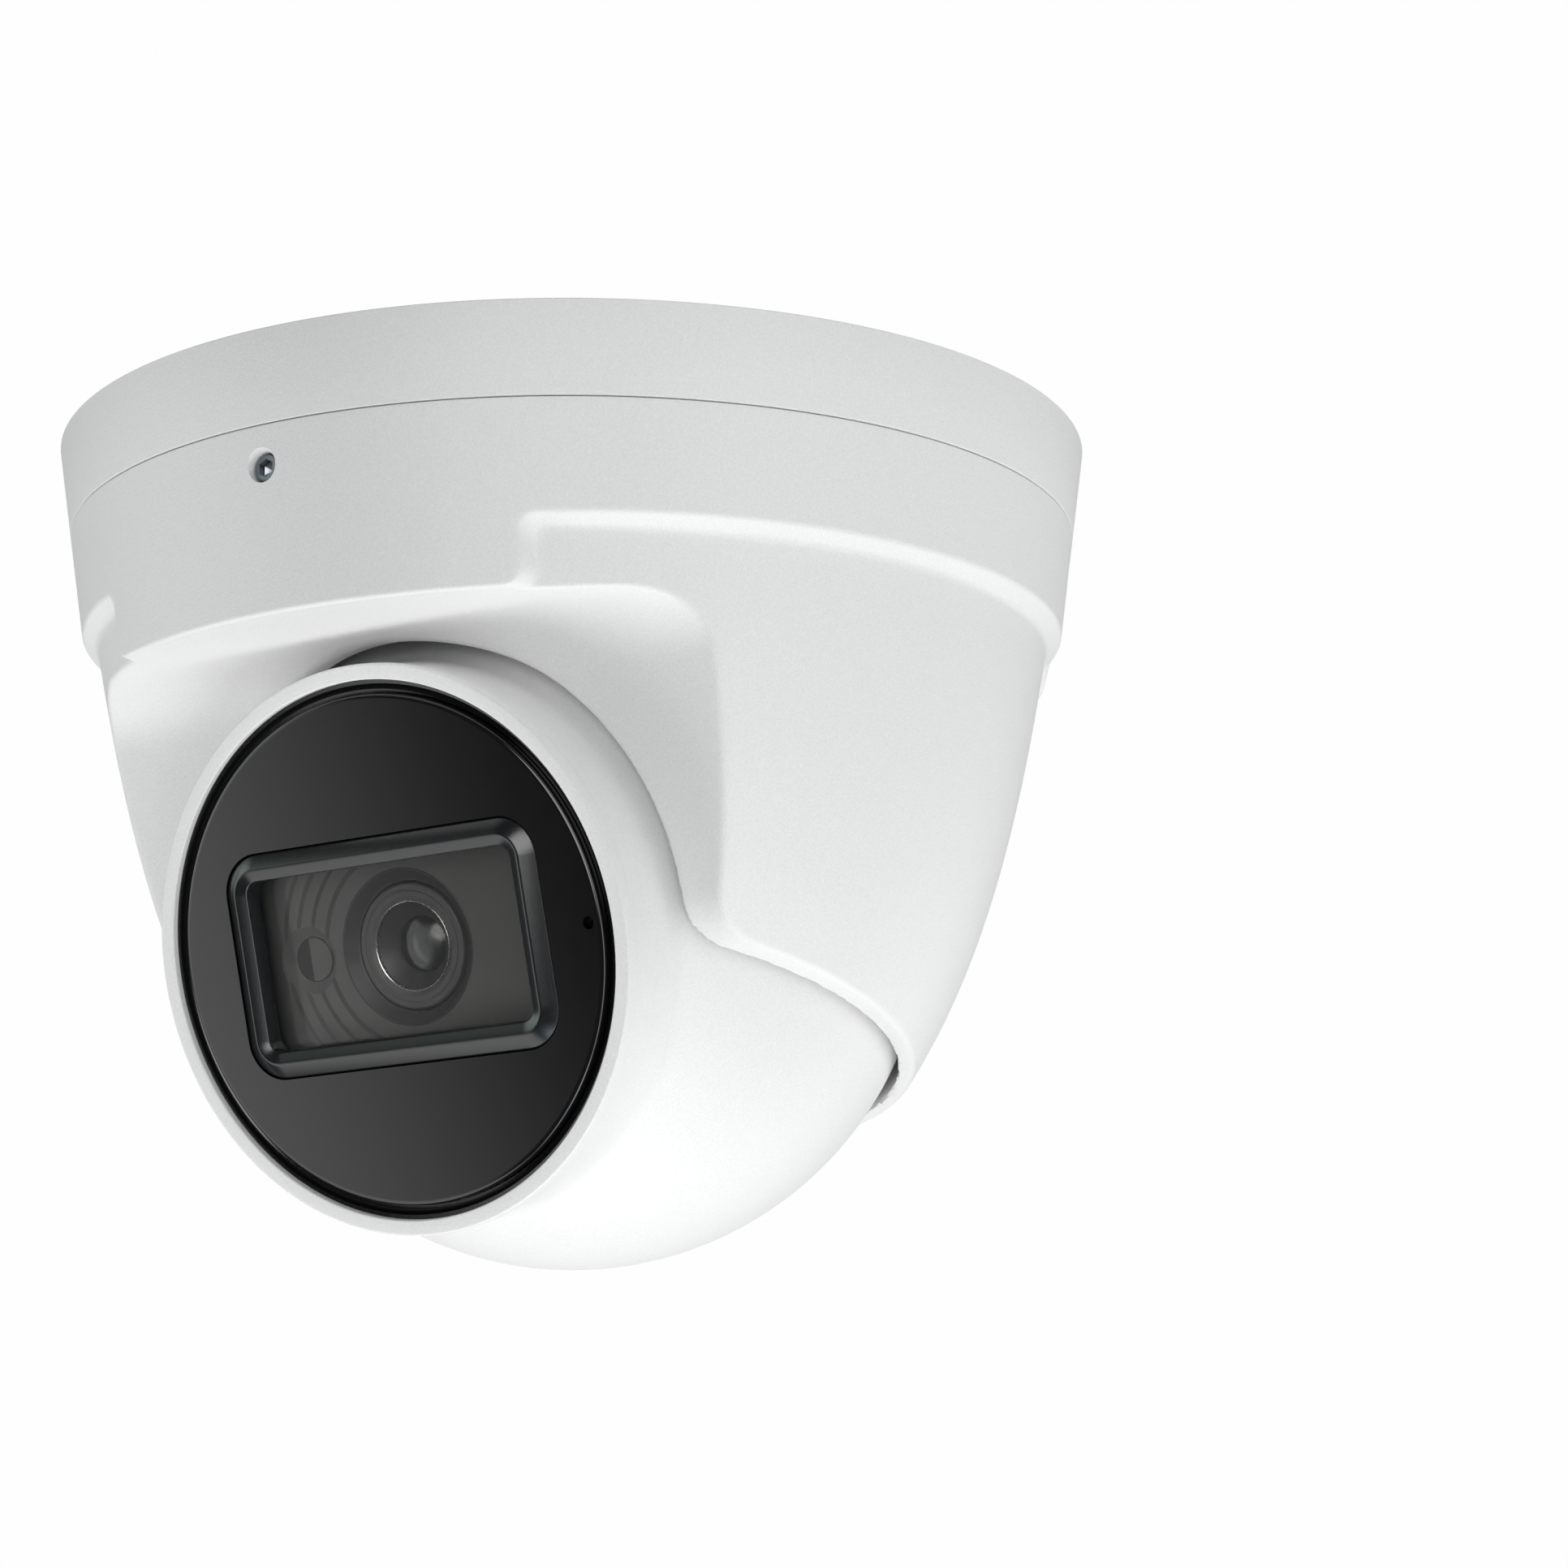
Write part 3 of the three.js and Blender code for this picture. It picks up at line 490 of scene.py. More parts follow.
def build_base():
    """The cup: a recess for the foam ring, the plate, the outer skirt, and the grooved spigot inside it."""
    bottom = SEAM_Z + BAND_GAP / 2
    profile = rounded(
        [
            (14.4, 0, 0),
            (50.6, 0, 0.2),
            (50.6, -1.3, 0.1),
            (56.2, -1.3, 0.1),
            (56.2, 0, 0.2),
            (BASE_RADIUS, 0, 0.12),
            (side_radius(bottom), bottom, SEAM_EDGE),
            (56.7, bottom, 0.2),
            (56.7, -4.4, 0.5),
            (54, -4.4, 0.5),
            (54, -13, 0.3),
            (53, -14, 0.3),
            (53, -15.4, 0.3),
            (54, -16.4, 0.3),
            (54, -19.5, 0.4),
            (51.2, -19.5, 0.4),
            (51.2, -3.6, 0.8),
            (12.2, -3.6, 0.3),
            (12.2, -1.4, 0),
            (14.4, -1.4, 0),
        ]
    )
    base = lathe("base", profile, UPRIGHT)
    combine(base, [slot_tool(turn) for turn in (0, 120, 240)])
    finish_piece(base, "base", white_coat, ["mounting_base"])


def build_ceiling_seal():
    """The foam ring between the base and the ceiling."""
    inner, outer, top, bottom = 50.9, 55.9, -0.1, -1
    profile = rounded([(inner, top, 0.3), (outer, top, 0.3), (outer, bottom, 0.1), (inner, bottom, 0.1)])
    finish_piece(lathe("ceiling_seal", profile, UPRIGHT), "base", foam, ["ceiling_gasket"])


def build_grommet():
    """The rubber collar of the cable hole."""
    profile = rounded(
        [
            (4.5, -0.2, 0.5),
            (14.1, -0.2, 0.4),
            (14.1, -1.1, 0.2),
            (11.9, -1.1, 0.1),
            (11.9, -3.9, 0.1),
            (13.5, -3.9, 0.2),
            (13.5, -4.9, 0.4),
            (6.9, -6.4, 0.8),
            (4.5, -6.4, 0.5),
        ]
    )
    finish_piece(lathe("grommet", profile, UPRIGHT), "base", rubber, ["cable_grommet"])


# ---------------------------------------------------------------- cover
LEDGE = ((56.95, -22.33), (55.1, -23.67))  # (radius, z) of the step under the band, outer and inner
PLATE_ANGLE = math.radians(30)
PLATE_STEP = ((-0.69, 56.4), (0.95, 54.4))  # (across, outward) of the step at the front plate's side
SIDE_CURVE = ((55.1, -23.7), (50.16, -52.7), (43.93, -66.6), (35.7, -78))  # Bezier points, (radius, z)
CEILING = (-27.55, 0.053)  # z at y = 0 and slope of the cut-out's ceiling
RIM = (-69.6, -0.215)  # the same of the cover's lower rim
CUTOUT_H = 27  # the cut-out's side faces, ahead of the ball's centre
CEILING_FILLET, RIM_FILLET = 8.3, 7.4  # where those faces meet the ceiling and the rim
PLATE_FILLET, PLATE_CORNER = 1.6, 3.0  # between plate and ledge, and at the plate's lower end
PLATE_OVERLAP = 0.4  # how far the plate reaches below the cut-out's ceiling
LEDGE_EDGE, SIDE_FILLET = 0.5, 0.4  # the ledge's outer edge, and where it meets the side below
LEDGE_COSINE = 0.5  # a little less than that of the normals which meet at its edge
OPENING_EDGE, INNER_EDGE, NOSE_EDGE = 0.45, 0.35, 0.6  # of the cut-out, the hollow and the nose's hole
LIP = (54.5, 56.3, -7.2)  # inner and outer radius, and top, of the cover's lip in the base's skirt
LIP_ROOT = 3  # how far the lip reaches down into the wall
SPIGOT_END = -20.3  # bottom of the space for the base's spigot
BOSS_RADIUS, BOSS_FACE = 5, 44.2  # of the bosses that hold the pivots, and how far out they start
PIN_RADIUS, PIN_START, PIN_END = 2.3, 43, 46.1  # of the blind holes for the pivots
LOCK_HOLE = (1.75, 2.0, 57.7, 58.15)  # radius, wider radius at its mouth, and ends of the slope between
LOCK_CUT = (50, 62)  # ends of the tool that cuts it
# (start, step) of the cover's grid, finest at the ledge and at the joint with the base
COVER_RADII = [(29.8, 0.45), (53, 0.22), (61, 0)]
COVER_HEIGHTS = [(-80.2, 0.5), (-34, 0.25), (-20.2, 0.5), (-11, 0.14), (-10, 0.4), (-6.4, 0)]
COVER_TURNS, QUICK_TURNS = 720, 240


def side_table():
    """Heights, radii and slope factors along the cover's curved side, from the bottom up."""
    t = np.linspace(1.04, 0, 160)[:, None]
    a, b, c, d = (np.array(point) for point in SIDE_CURVE)
    curve = a * (1 - t) ** 3 + 3 * b * t * (1 - t) ** 2 + 3 * c * t**2 * (1 - t) + d * t**3
    radius, height = curve.T
    slope = np.gradient(radius, height)
    return height, radius, 1 / np.sqrt(1 + slope**2)


SIDE_HEIGHTS, SIDE_RADII, SIDE_COSINES = side_table()


def level_distance(y, z, level, slope):
    """Height above a plane that slopes along Y, measured square to it."""
    return (z - level - slope * y) / math.hypot(1, slope)


def slopes_cosine(first, second):
    """Cosine of the angle between two normals in the plane of Y and Z."""
    return (first[0] * second[0] + first[1] * second[1]) / (math.hypot(*first) * math.hypot(*second))


def opening_distance(y, z, ahead):
    """Negative in the cut-out: below its ceiling and in front of its side faces, or below the rim."""
    ceiling = level_distance(y, z, *CEILING)
    rim = level_distance(y, z, *RIM)
    face = CUTOUT_H - ahead
    face_slope = (TILT_COSINE, TILT_SINE)
    upper = slopes_cosine(face_slope, (-CEILING[1], 1))
    lower = slopes_cosine(face_slope, (-RIM[1], 1))
    return round_min(round_max(ceiling, face, CEILING_FILLET, upper), rim, RIM_FILLET, lower)


def outside_distance(x, y, z, radius):
    """The band, the plate below it at the front, and the curved side under the ledge."""
    cone = (radius - BASE_RADIUS - SIDE_TAPER * z) / math.hypot(1, SIDE_TAPER)
    side = (radius - np.interp(z, SIDE_HEIGHTS, SIDE_RADII)) * np.interp(z, SIDE_HEIGHTS, SIDE_COSINES)
    ledge = line_distance(radius, z, *LEDGE)
    across = np.abs(x) * math.cos(PLATE_ANGLE) + y * math.sin(PLATE_ANGLE)
    outward = np.abs(x) * math.sin(PLATE_ANGLE) - y * math.cos(PLATE_ANGLE)
    plate = line_distance(across, outward, *PLATE_STEP)
    plate = round_max(plate, -level_distance(y, z, *CEILING) - PLATE_OVERLAP, PLATE_CORNER)
    band = round_max(cone, round_min(ledge, plate, PLATE_FILLET), LEDGE_EDGE, LEDGE_COSINE)
    return round_min(band, side, SIDE_FILLET)


def void_distance(x, y, z, radius, outside, opening):
    """The hollow behind the walls, the seat around the ball and the way in for the base's spigot."""
    hollow = np.maximum(outside + COVER_WALL, COVER_WALL - opening)
    spigot = np.maximum(radius - LIP[0], SPIGOT_END - z)
    seat = np.sqrt(radius**2 + (z - BALL_Z) ** 2) - SEAT_RADIUS
    boss = np.maximum(np.hypot(y, z - BALL_Z) - BOSS_RADIUS, BOSS_FACE - np.abs(x))
    void = np.maximum(np.minimum(np.minimum(hollow, spigot), seat), -boss)
    pin = np.maximum(np.hypot(y, z - BALL_Z) - PIN_RADIUS, np.abs(x) - PIN_END)
    return np.minimum(void, np.maximum(pin, PIN_START - np.abs(x)))


def cover_distance(x, y, z):
    """The cover: its outside with a lip above, less the cut-out, the hollow and the hole for the nose."""
    radius = np.hypot(x, y)
    ahead = -(y * TILT_COSINE + (z - BALL_Z) * TILT_SINE)
    up = -y * TILT_SINE + (z - BALL_Z) * TILT_COSINE
    outside = outside_distance(x, y, z, radius)
    opening = opening_distance(y, z, ahead)
    top = SEAM_Z - BAND_GAP / 2
    lip = np.maximum(np.maximum(radius - LIP[1], z - LIP[2]), top - LIP_ROOT - z)
    solid = np.minimum(round_max(outside, z - top, SEAM_EDGE), lip)
    solid = round_max(solid, -opening, OPENING_EDGE)
    solid = round_max(solid, -void_distance(x, y, z, radius, outside, opening), INNER_EDGE)
    hole = np.hypot(x, up - NOSE_HOLE[1]) - NOSE_HOLE[0]
    way = np.maximum(np.abs(x) - NOSE_HOLE[0], up - NOSE_HOLE[1])
    nose = np.maximum(np.minimum(hole, way), NOSE_START - ahead)
    return round_max(solid, -nose, NOSE_EDGE)


def lock_hole_tool(turn):
    """The hole of a lock screw, with a slightly broken edge."""
    radius, mouth, start, end = LOCK_HOLE
    low, high = LOCK_CUT
    profile = [(0, low), (radius, low), (radius, start), (mouth, end), (mouth, high), (0, high)]
    tool = lathe("hole_tool", profile, Matrix.Rotation(math.pi / 2, 4, "X") @ UPRIGHT, 48)
    tool.data.transform(Matrix.Translation((0, 0, LOCK_Z * MM)))
    tool.data.transform(Matrix.Rotation(math.radians(turn), 4, "Z"))
    return tool


def build_cover():
    """The white cover, with the holes of its three lock screws."""
    turns = COVER_TURNS
    grid = graded(COVER_RADII), graded(COVER_HEIGHTS)
    cover = turned_surface("cover", cover_distance, *grid, turns, UPRIGHT)
    outward(cover)
    combine(cover, [lock_hole_tool(turn) for turn in (0, 120, 240)])
    finish_piece(cover, "turret", white_coat, ["turret_cover"], crease=40)


def build_lock_screw(place, turn):
    """A set screw with a hexagon socket, seen at the bottom of its hole."""
    count = 48
    loops = [
        circle(0.75, 53.4, count),
        circle(1.45, 54.2, count),
        circle(1.45, 57.1, count),
        circle(1.35, 57.2, count),
        hexagon(0.9, 57.2, count),
        hexagon(0.86, 57.1, count),
        hexagon(0.86, 56.3, count),
        circle(0.2, 55.9, count),
    ]
    screw = loft(f"set_screw_{place}", loops, Matrix.Rotation(math.pi / 2, 4, "X") @ UPRIGHT)
    screw.data.transform(Matrix.Translation((0, 0, LOCK_Z * MM)))
    screw.data.transform(Matrix.Rotation(math.radians(turn), 4, "Z"))
    finish_piece(screw, "turret", dark_steel, [f"lock_screw_{place}"])


# ---------------------------------------------------------------- ball
SEAM_H = -16  # joint of the two ball shells
SHELL_INNER = 38.4  # radius
SHELL_EDGE = 0.25  # chamfer along that joint
NOSE_FILLET = 3.2  # between ball and nose
RIM_FLARE, RIM_STEP = 0.3, 0.35  # of the nose's rim, outwards and ahead of the window
WINDOW_SEAT = (29.46, 33.2)  # radius and height
SEAT_OPENING = 26  # radius of the opening behind the window
NECK = (3.8, 5.5, -44.9)  # inner and outer radius, and end
SHELL_BORE = (2.9, -45, -21.2)  # radius and ends of the bores that the shell screws sit in
SHELL_BORE_REACH = 30.5  # from the lens axis to theirs


def sphere_arc(radius, start_h, end_h, steps):
    """A sphere's profile between two heights."""
    angles = np.degrees(np.arcsin(np.array([start_h, end_h]) / radius))
    return arc((0, 0), radius, *angles, steps)


def nose_fillet(radius, steps=8):
    """The arc that runs from the ball into the side of the nose, and the height where it leaves the ball."""
    centre_r = NOSE_RADIUS + radius
    centre_h = math.sqrt((BALL_RADIUS + radius) ** 2 - centre_r**2)
    turn = math.degrees(math.atan2(centre_h, centre_r))
    leave_h = centre_h * BALL_RADIUS / (BALL_RADIUS + radius)
    return arc((centre_r, centre_h), radius, 180 + turn, 180, steps), leave_h


def build_front_shell():
    """The ball's front with its nose, whose rim stands a little out and ahead of the window."""
    fillet, leave_h = nose_fillet(NOSE_FILLET)
    flare_r, rim_h = NOSE_RADIUS + RIM_FLARE, FACE_H + RIM_STEP
    edge_r = math.sqrt(BALL_RADIUS**2 - SEAM_H**2)
    inner_r = math.sqrt(SHELL_INNER**2 - SEAM_H**2)
    front = rounded(
        [
            (NOSE_RADIUS, 33.6, 0),
            (flare_r, 35.2, 1.5),
            (flare_r, rim_h, 0.25),
            (WINDOW_SEAT[0], rim_h, 0.2),
            (WINDOW_SEAT[0], WINDOW_SEAT[1], 0.2),
            (SEAT_OPENING, WINDOW_SEAT[1], 0),
        ]
    )
    profile = [
        (edge_r - SHELL_EDGE, SEAM_H),
        *sphere_arc(BALL_RADIUS, SEAM_H + SHELL_EDGE, leave_h, 48),
        *fillet[1:],
        *front,
        *sphere_arc(SHELL_INNER, math.sqrt(SHELL_INNER**2 - SEAT_OPENING**2), SEAM_H, 24),
        (inner_r, SEAM_H),
    ]
    shell = lathe("front_shell", profile, LENS)
    finish_piece(shell, "ball", white_coat, ["ball_front_shell"])


def bore_tool(angle):
    """The bore for a shell screw, at an angle about the lens axis."""
    radius, low, high = SHELL_BORE
    tool = lathe("bore_tool", [(0, low), (radius, low), (radius, high), (0, high)], LENS, 32)
    reach = SHELL_BORE_REACH
    shift = Vector((reach * math.cos(angle), reach * math.sin(angle), 0))
    tool.data.transform(Matrix.Translation(LENS.to_3x3() @ shift))
    return tool


def build_rear_shell():
    """The ball's back with its neck, bored for the four shell screws."""
    seam = SEAM_H - SHELL_GAP
    edge_r = math.sqrt(BALL_RADIUS**2 - seam**2)
    neck_inner, neck_outer, neck_end = NECK
    neck_h = -math.sqrt(BALL_RADIUS**2 - neck_outer**2)
    profile = [
        (edge_r - SHELL_EDGE, seam),
        *reversed(sphere_arc(BALL_RADIUS, neck_h, seam - SHELL_EDGE, 40)),
        (neck_outer, neck_end),
        (neck_inner, neck_end),
        *sphere_arc(SHELL_INNER, -math.sqrt(SHELL_INNER**2 - neck_inner**2), seam, 24),
    ]
    shell = lathe("rear_shell", profile, LENS)
    combine(shell, [bore_tool(math.radians(45 + 90 * i)) for i in range(4)])
    finish_piece(shell, "ball", white_coat, ["ball_rear_shell"])


# ---------------------------------------------------------------- window, bezel and pane
WINDOW_RADIUS = 27.95
RING_SINK = 0.4  # how far the ring's top is behind the window's face
RING_HOLLOW = 0.8  # radius of its hollow
MICROPHONE_X, MICROPHONE_HOLE = 26.3, 0.7  # place and radius
BEZEL_FIT = 0.12  # clearance around the bezel
WINDOW_CUT = (30, 40)  # ends of the tools that cut the window


def build_window_ring():
    """The black ring between the white nose and the window, hollowed towards the glass."""
    outer, inner = WINDOW_SEAT[0] - 0.06, WINDOW_RADIUS + 0.12
    low, top = WINDOW_SEAT[1] + 0.1, FACE_H - RING_SINK
    hollow = arc((inner + 0.12, top - 0.05), RING_HOLLOW, 0, -90, 8)
    profile = [(inner, low), (outer, low), (outer, top), *hollow, (inner, top - 0.05 - RING_HOLLOW)]
    finish_piece(lathe("window_ring", profile, LENS), "ball", ring_black, ["window_gasket"])


def build_window():
    """The black disc, with an opening for the bezel and a pinhole for the microphone."""
    back = WINDOW_SEAT[1] + 0.3
    profile = rounded(
        [
            (0, back, 0),
            (WINDOW_RADIUS, back, 0.1),
            (WINDOW_RADIUS, FACE_H, 0.45),
            (WINDOW_RADIUS - 0.6, FACE_H, 0),
            (0, FACE_H, 0),
        ]
    )
    window = lathe("window", profile, LENS)
    low, high = WINDOW_CUT
    hole = loft("hole_tool", frame_loops(BEZEL, [(-BEZEL_FIT, low), (-BEZEL_FIT, high)]), LENS)
    outline = [(0, low), (MICROPHONE_HOLE, low), (MICROPHONE_HOLE, high), (0, high)]
    pinhole = lathe("pinhole_tool", outline, LENS, 32)
    pinhole.data.transform(Matrix.Translation((MICROPHONE_X * MM, 0, 0)))
    combine(window, [hole, pinhole])
    finish_piece(window, "ball", gloss_black, ["front_window"])


def build_bezel():
    """A frame with a bevel up to its ridge outside, and one down to the pane inside."""
    profile = rounded(
        [
            (0, 34.4, 0),
            (0, 36.0, 0.3),
            (1.7, 37.15, 0.5),
            (3.0, 36.6, 0.25),
            (3.05, 34.4, 0),
        ],
        steps=4,
    )
    bezel = loft("bezel", frame_loops(BEZEL, profile), LENS, ring=True)
    finish_piece(bezel, "ball", satin_black, ["lens_bezel"], crease=50)


def build_pane():
    """The clear pane behind the bezel."""
    loops = frame_loops(PANE, [(0.2, 33.1), (0, 33.25), (0, 33.95), (0.2, 34.1)])
    finish_piece(loft("pane", loops, LENS), "ball", clear_pane, ["lens_pane"])


# ---------------------------------------------------------------- floor around the lens
FLOOR_TOP, FLOOR_BOTTOM = 32.8, 31  # levels ahead of the ball's centre
FLOOR_REACH = 25  # beyond the pane's corners
FLOOR_STEP, FLOOR_COUNT = 0.1, 288  # the grid of its top: step outwards, and points around
GROOVES = (10.9, 12.95, 14.8, 16.6)  # radii about the lens axis, on the left half
GROOVE_DEPTH, GROOVE_FLANK = 0.6, 0.2
LENS_HEAD_RADIUS = 6.92
CONE_RADIUS = 8.7  # of the round hole for the lens, which a black cone lines
SENSOR_X = sum(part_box("light_sensor_window"), Vector()).x / 2 / MM
SENSOR_SINK = (3.75, 2.6, 1.2)  # outer and inner radius of its countersink, and depth


def floor_height(x, y):
    """The floor's level, with its grooves and the countersink of the light sensor."""
    reach = np.hypot(x, y)
    level = np.full(reach.shape, float(FLOOR_TOP))
    for radius in GROOVES:
        level -= GROOVE_DEPTH * np.clip(1.3 - np.abs(reach - radius) / GROOVE_FLANK, 0, 1) * (x < 0)
    sensor = np.hypot(x - SENSOR_X, y)
    outer, inner, depth = SENSOR_SINK
    sink = FLOOR_TOP - depth * np.clip((outer - sensor) / (outer - inner), 0, 1)
    return np.where(sensor < outer, sink, level)


def build_lens_floor():
    """A plate whose top is a fine grid around the lens, trimmed to the pane's outline."""
    radii = np.arange(CONE_RADIUS, FLOOR_REACH, FLOOR_STEP)
    loops = []
    for radius in radii:
        loop = circle(radius, 0, FLOOR_COUNT)
        loop[:, 2] = floor_height(loop[:, 0], loop[:, 1])
        loops.append(loop)
    loops += [circle(radii[end], FLOOR_BOTTOM, FLOOR_COUNT) for end in (-1, 0)]
    floor = loft("lens_floor", loops, LENS, ring=True)
    outline = loft("outline_tool", frame_loops(PANE, [(0, FLOOR_BOTTOM - 1), (0, FLOOR_TOP + 1.2)]), LENS)
    combine(floor, [outline], "INTERSECT")
    finish_piece(floor, "ball", lens_floor, ["lens_surround"], crease=25)


def build_lens_cone():
    """The black cone between the floor and the lens."""
    low, high, step = FLOOR_BOTTOM, FLOOR_TOP, FLOOR_TOP - 1.1
    inner, outer = LENS_HEAD_RADIUS + 0.3, CONE_RADIUS - 0.03
    profile = rounded(
        [
            (inner, low, 0),
            (outer, low, 0),
            (outer, high, 0.08),
            (outer - 0.2, high, 0.06),
            (inner + 0.15, step, 0.15),
            (inner, step, 0.1),
        ]
    )
    finish_piece(lathe("lens_cone", profile, LENS, 128), "ball", lens_black)


def build_light_sensor():
    """The sensor's small window, with a light half disc on it."""
    window = rounded([(0, 31.35, 0), (2.55, 31.35, 0.1), (2.55, 31.7, 0.08), (0, 31.7, 0)])
    window = lathe("sensor_glass", window, LENS, 64)
    window.data.transform(Matrix.Translation((SENSOR_X * MM, 0, 0)))
    finish_piece(window, "ball", sensor_window, ["light_sensor_window"])
    # A thin light grey half disc laid over one side of the sensor's window
    outline = np.array([(SENSOR_X + x, y, 31.72) for x, y in arc((0, 0), 2.4, -100, 100, 24)])
    half_disc = loft("sensor_half_disc", [outline, outline + (0, 0, 0.1)], LENS)
    finish_piece(half_disc, "ball", lens_floor)


# ---------------------------------------------------------------- lens
HEAD_TOP = 32.0  # front of the lens head


def build_lens_head():
    """The lens's stepped head on its barrel, with a shallow groove round its front."""
    profile = rounded(
        [
            (4.6, 13.2, 0),
            (5.9, 13.2, 0),
            (5.9, 27, 0),
            (LENS_HEAD_RADIUS, 27.4, 0),
            (LENS_HEAD_RADIUS, HEAD_TOP, 0.25),
            (6.25, HEAD_TOP, 0.08),
            (6.25, HEAD_TOP - 0.12, 0.05),
            (6.1, HEAD_TOP - 0.12, 0.05),
            (6.1, HEAD_TOP, 0.08),
            (5.5, HEAD_TOP, 0.08),
            (5.0, HEAD_TOP - 0.3, 0.05),
            (4.75, HEAD_TOP - 0.55, 0.1),
            (3.2, 29.85, 0.1),
            (3.2, 28.4, 0),
            (2.8, 28.4, 0),
            (2.8, 27.4, 0),
            (4.6, 26.4, 0),
        ],
        steps=4,
    )
    head = lathe("lens_head", profile, LENS, 128)
    finish_piece(head, "ball", lens_face, ["lens_barrel"])


def build_lens_hood():
    """The dark cone that leads down to the front lens."""
    top, bottom = HEAD_TOP - 0.4, HEAD_TOP - 2
    inner, outer, wall = 3.22, 4.79, 0.1
    profile = rounded(
        [
            (inner, bottom - wall, 0),
            (outer, top - wall, 0),
            (outer, top, 0.05),
            (inner, bottom, 0.05),
        ]
    )
    finish_piece(lathe("lens_hood", profile, LENS, 128), "ball", lens_black)


def build_lens_ring():
    """A thin bright ring in the mouth of the lens, bevelled towards the glass."""
    low, high = HEAD_TOP - 0.5, HEAD_TOP - 0.05
    profile = rounded([(4.8, low, 0), (5.0, low, 0), (5.0, high, 0.06), (4.8, high - 0.1, 0.08)], steps=4)
    finish_piece(lathe("lens_ring", profile, LENS, 128), "ball", bright_ring, ["lens_trim_ring"])


def build_front_element():
    """A strongly curved front lens."""
    radius, edge, rise = 3.1, 29.8, 1.0
    sphere = (radius**2 + rise**2) / (2 * rise)
    centre = edge + rise - sphere
    start = math.degrees(math.asin((edge - centre) / sphere))
    dome = arc((0, centre), sphere, start, 89.5, 16)
    profile = [(0, edge - 0.5), (radius, edge - 0.5), *dome, (0, edge + rise)]
    finish_piece(lathe("front_element", profile, LENS, 96), "ball", lens_glass, ["lens_front_glass"])


def build_iris():
    """The dark stop behind the front lens."""
    profile = [(1.1, 27.6), (2.7, 27.6), (2.7, 28.0), (1.1, 27.75)]
    finish_piece(lathe("iris", profile, LENS, 64), "ball", lens_black)


# ---------------------------------------------------------------- stage
FLOOR_HALF, FLOOR_LEVEL = 4, -0.75  # metres
CAMERA_PLACE = (0.2845, -0.4048, -0.1535)  # metres
CAMERA_PITCH, CAMERA_YAW = 13.09, 2.75  # degrees above the level, and to the right of the part's origin
CAMERA_LENS, CAMERA_SENSOR = 100.2, 36  # millimetres
WHITE = (0.99, 0.99, 0.99)
AMBIENT = (0.465, 0.47, 0.48)
LAMP_DISTANCE, LAMP_SIZE = 0.65, 0.5  # metres
LAMPS = {  # azimuth and elevation in degrees, and watts
    "left": (-60, -40, 1.58),
    "right": (60, -40, 1.05),
    "side": (95, 0, 0.72),
    "back": (130, -40, 0.7),
    "below": (0, -85, 1.3),
}
DIM_STUDIO = (0.06, 0.06, 0.06)
LEFT_BOX = (-0.795, 0.606, -0.052)
RIGHT_BOX = Vector((0.583, 0.808, 0.079))
REFLECTED = {  # soft lights seen in reflections: their colour, and the cosines of their edges
    "left": (
        (1.85, 1.85, 1.85),
        [(LEFT_BOX, -0.03, 0.1), (LEFT_BOX, 0.6, 0.45), ((0, 0, -1), -0.12, 0.05)],
    ),
    "key": ((6, 6, 6), [((0.35, -0.92, 0.15), 0.9, 0.97)]),
    "right": (
        (3.2, 3.2, 3.2),
        [(RIGHT_BOX, -0.15, -0.03), (-RIGHT_BOX, -0.55, -0.4), ((1, 0, 0), 0.25, 0.4)],
    ),
    "upper left": ((1.7, 2.0, 1.85), [((-0.87, -0.45, 0.3), 0.92, 0.97)]),
    "low right": ((3.2, 3.6, 4), [((0.29, -0.14, -0.95), 0.93, 0.99)]),
}


def build_floor():
    """A plain pale floor, far enough below to leave no trace on the object."""
    half = FLOOR_HALF
    corners = [(x, y, FLOOR_LEVEL) for x, y in ((-half, -half), (half, -half), (half, half), (-half, half))]
    floor = new_object("floor", corners, [(0, 1, 2, 3)], Matrix.Identity(4))
    material, _, _, shader = new_material("stage_floor")
    shader.inputs["Base Color"].default_value = (0.8, 0.8, 0.8, 1)
    shader.inputs["Roughness"].default_value = 0.9
    floor.data.materials.append(material)
    floor.visible_glossy = False


def facing(nodes, links, edges):
    """A soft-edged patch of the world: 1 where every edge's (direction, start, full) cosines are reached."""
    share = None
    for direction, start, full in edges:
        coordinates = nodes.new("ShaderNodeTexCoord")
        towards = nodes.new("ShaderNodeVectorMath")
        towards.operation = "DOT_PRODUCT"
        towards.inputs[1].default_value = Vector(direction).normalized()
        links.new(coordinates.outputs["Generated"], towards.inputs[0])
        ramp = nodes.new("ShaderNodeMapRange")
        ramp.interpolation_type = "SMOOTHSTEP"
        ramp.inputs["From Min"].default_value = start
        ramp.inputs["From Max"].default_value = full
        links.new(towards.outputs["Value"], ramp.inputs["Value"])
        if share:
            links.new(share, ramp.inputs["To Max"])
        share = ramp.outputs["Result"]
    return share


def background(nodes, color):
    """A background shader of one colour."""
    node = nodes.new("ShaderNodeBackground")
    node.inputs["Color"].default_value = (*color, 1)
    return node


def mixed_by_ray(nodes, links, ray, others, chosen):
    """One shader for a kind of ray, and another for all other rays."""
    rays = nodes.new("ShaderNodeLightPath")
    mix = nodes.new("ShaderNodeMixShader")
    links.new(rays.outputs[ray], mix.inputs["Fac"])
    links.new(others, mix.inputs[1])
    links.new(chosen, mix.inputs[2])
    return mix.outputs["Shader"]


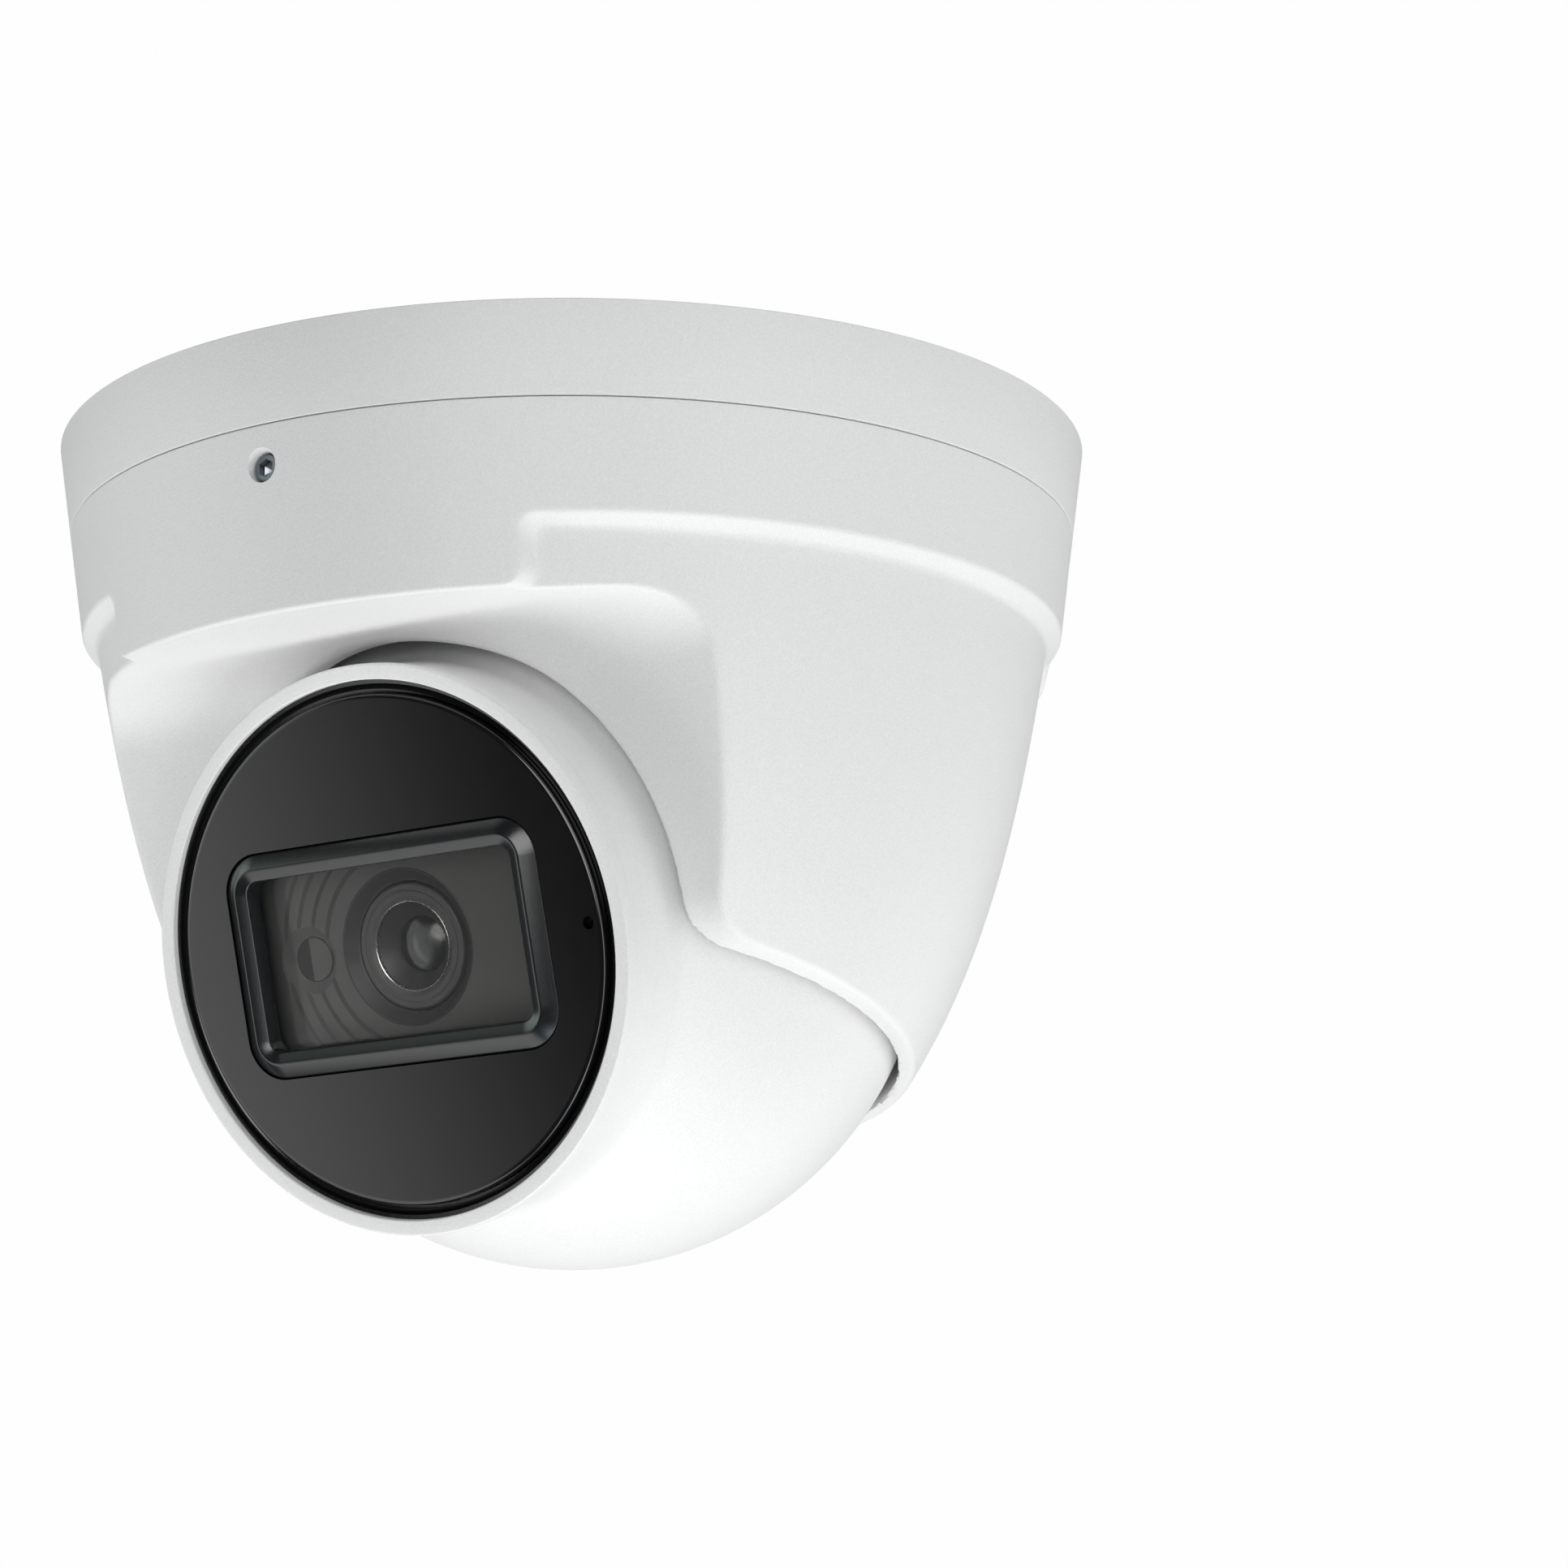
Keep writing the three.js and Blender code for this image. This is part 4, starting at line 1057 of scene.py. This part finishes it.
def build_world():
    """White to the camera, even light on the object, and a dim studio with soft lights in reflections."""
    world = bpy.data.worlds.new("studio")
    bpy.context.scene.world = world
    world.use_nodes = True
    nodes, links = world.node_tree.nodes, world.node_tree.links
    nodes.remove(nodes["Background"])
    even = background(nodes, AMBIENT).outputs["Background"]
    white = background(nodes, WHITE).outputs["Background"]
    studio = background(nodes, DIM_STUDIO).outputs["Background"]
    for color, edges in REFLECTED.values():
        share = facing(nodes, links, edges)
        patch = background(nodes, color)
        links.new(share, patch.inputs["Strength"])
        added = nodes.new("ShaderNodeAddShader")
        links.new(studio, added.inputs[0])
        links.new(patch.outputs["Background"], added.inputs[1])
        studio = added.outputs["Shader"]
    lit = mixed_by_ray(nodes, links, "Is Glossy Ray", even, studio)
    seen = mixed_by_ray(nodes, links, "Is Camera Ray", lit, white)
    links.new(seen, nodes["World Output"].inputs["Surface"])


def area_light(name, azimuth, elevation, power):
    """A soft round lamp that looks at the ball. Azimuth 0 is in front, and 90 to the right."""
    turn, rise = math.radians(azimuth), math.radians(elevation)
    ray = Vector((math.sin(turn) * math.cos(rise), -math.cos(turn) * math.cos(rise), math.sin(rise)))
    light = bpy.data.lights.new(name, "AREA")
    light.shape = "DISK"
    light.size = LAMP_SIZE
    light.energy = power
    obj = bpy.data.objects.new(name, light)
    obj.location = Vector((0, 0, BALL_Z * MM)) + ray * LAMP_DISTANCE
    obj.rotation_euler = (-ray).to_track_quat("-Z", "Y").to_euler()
    obj.visible_camera = False
    obj.visible_glossy = False
    bpy.context.scene.collection.objects.link(obj)


def build_camera():
    """Below the object and to its right, looking up. The object sits left of the frame's middle."""
    location = Vector(CAMERA_PLACE)
    pitch, yaw = math.radians(CAMERA_PITCH), math.radians(CAMERA_YAW)
    level = Vector((-location.x, -location.y, 0)).normalized()
    ahead = level * math.cos(pitch) + Vector((0, 0, math.sin(pitch)))
    right = ahead.cross(Vector((0, 0, 1))).normalized()
    up = right.cross(ahead)
    turned_ahead = ahead * math.cos(yaw) + right * math.sin(yaw)
    turned_right = right * math.cos(yaw) - ahead * math.sin(yaw)
    data = bpy.data.cameras.new("camera")
    data.sensor_width = CAMERA_SENSOR
    data.lens = CAMERA_LENS
    camera = bpy.data.objects.new("camera", data)
    axes = Matrix((turned_right, up, -turned_ahead)).transposed().to_4x4()
    camera.matrix_world = Matrix.Translation(location) @ axes
    bpy.context.scene.collection.objects.link(camera)
    bpy.context.scene.camera = camera


def build_stage():
    """The floor, the world and the lamps."""
    build_floor()
    build_world()
    for name, (azimuth, elevation, power) in LAMPS.items():
        area_light(f"lamp_{name}", azimuth, elevation, power)
    bpy.context.scene.view_settings.view_transform = "Standard"


build_camera()
build_stage()
build_base()
build_ceiling_seal()
build_grommet()
build_cover()
for place, turn in (("front", 0), ("right", 120), ("left", 240)):
    build_lock_screw(place, turn)
build_front_shell()
build_rear_shell()
build_window_ring()
build_window()
build_bezel()
build_pane()
build_lens_floor()
build_lens_cone()
build_light_sensor()
build_lens_head()
build_lens_hood()
build_lens_ring()
build_front_element()
build_iris()
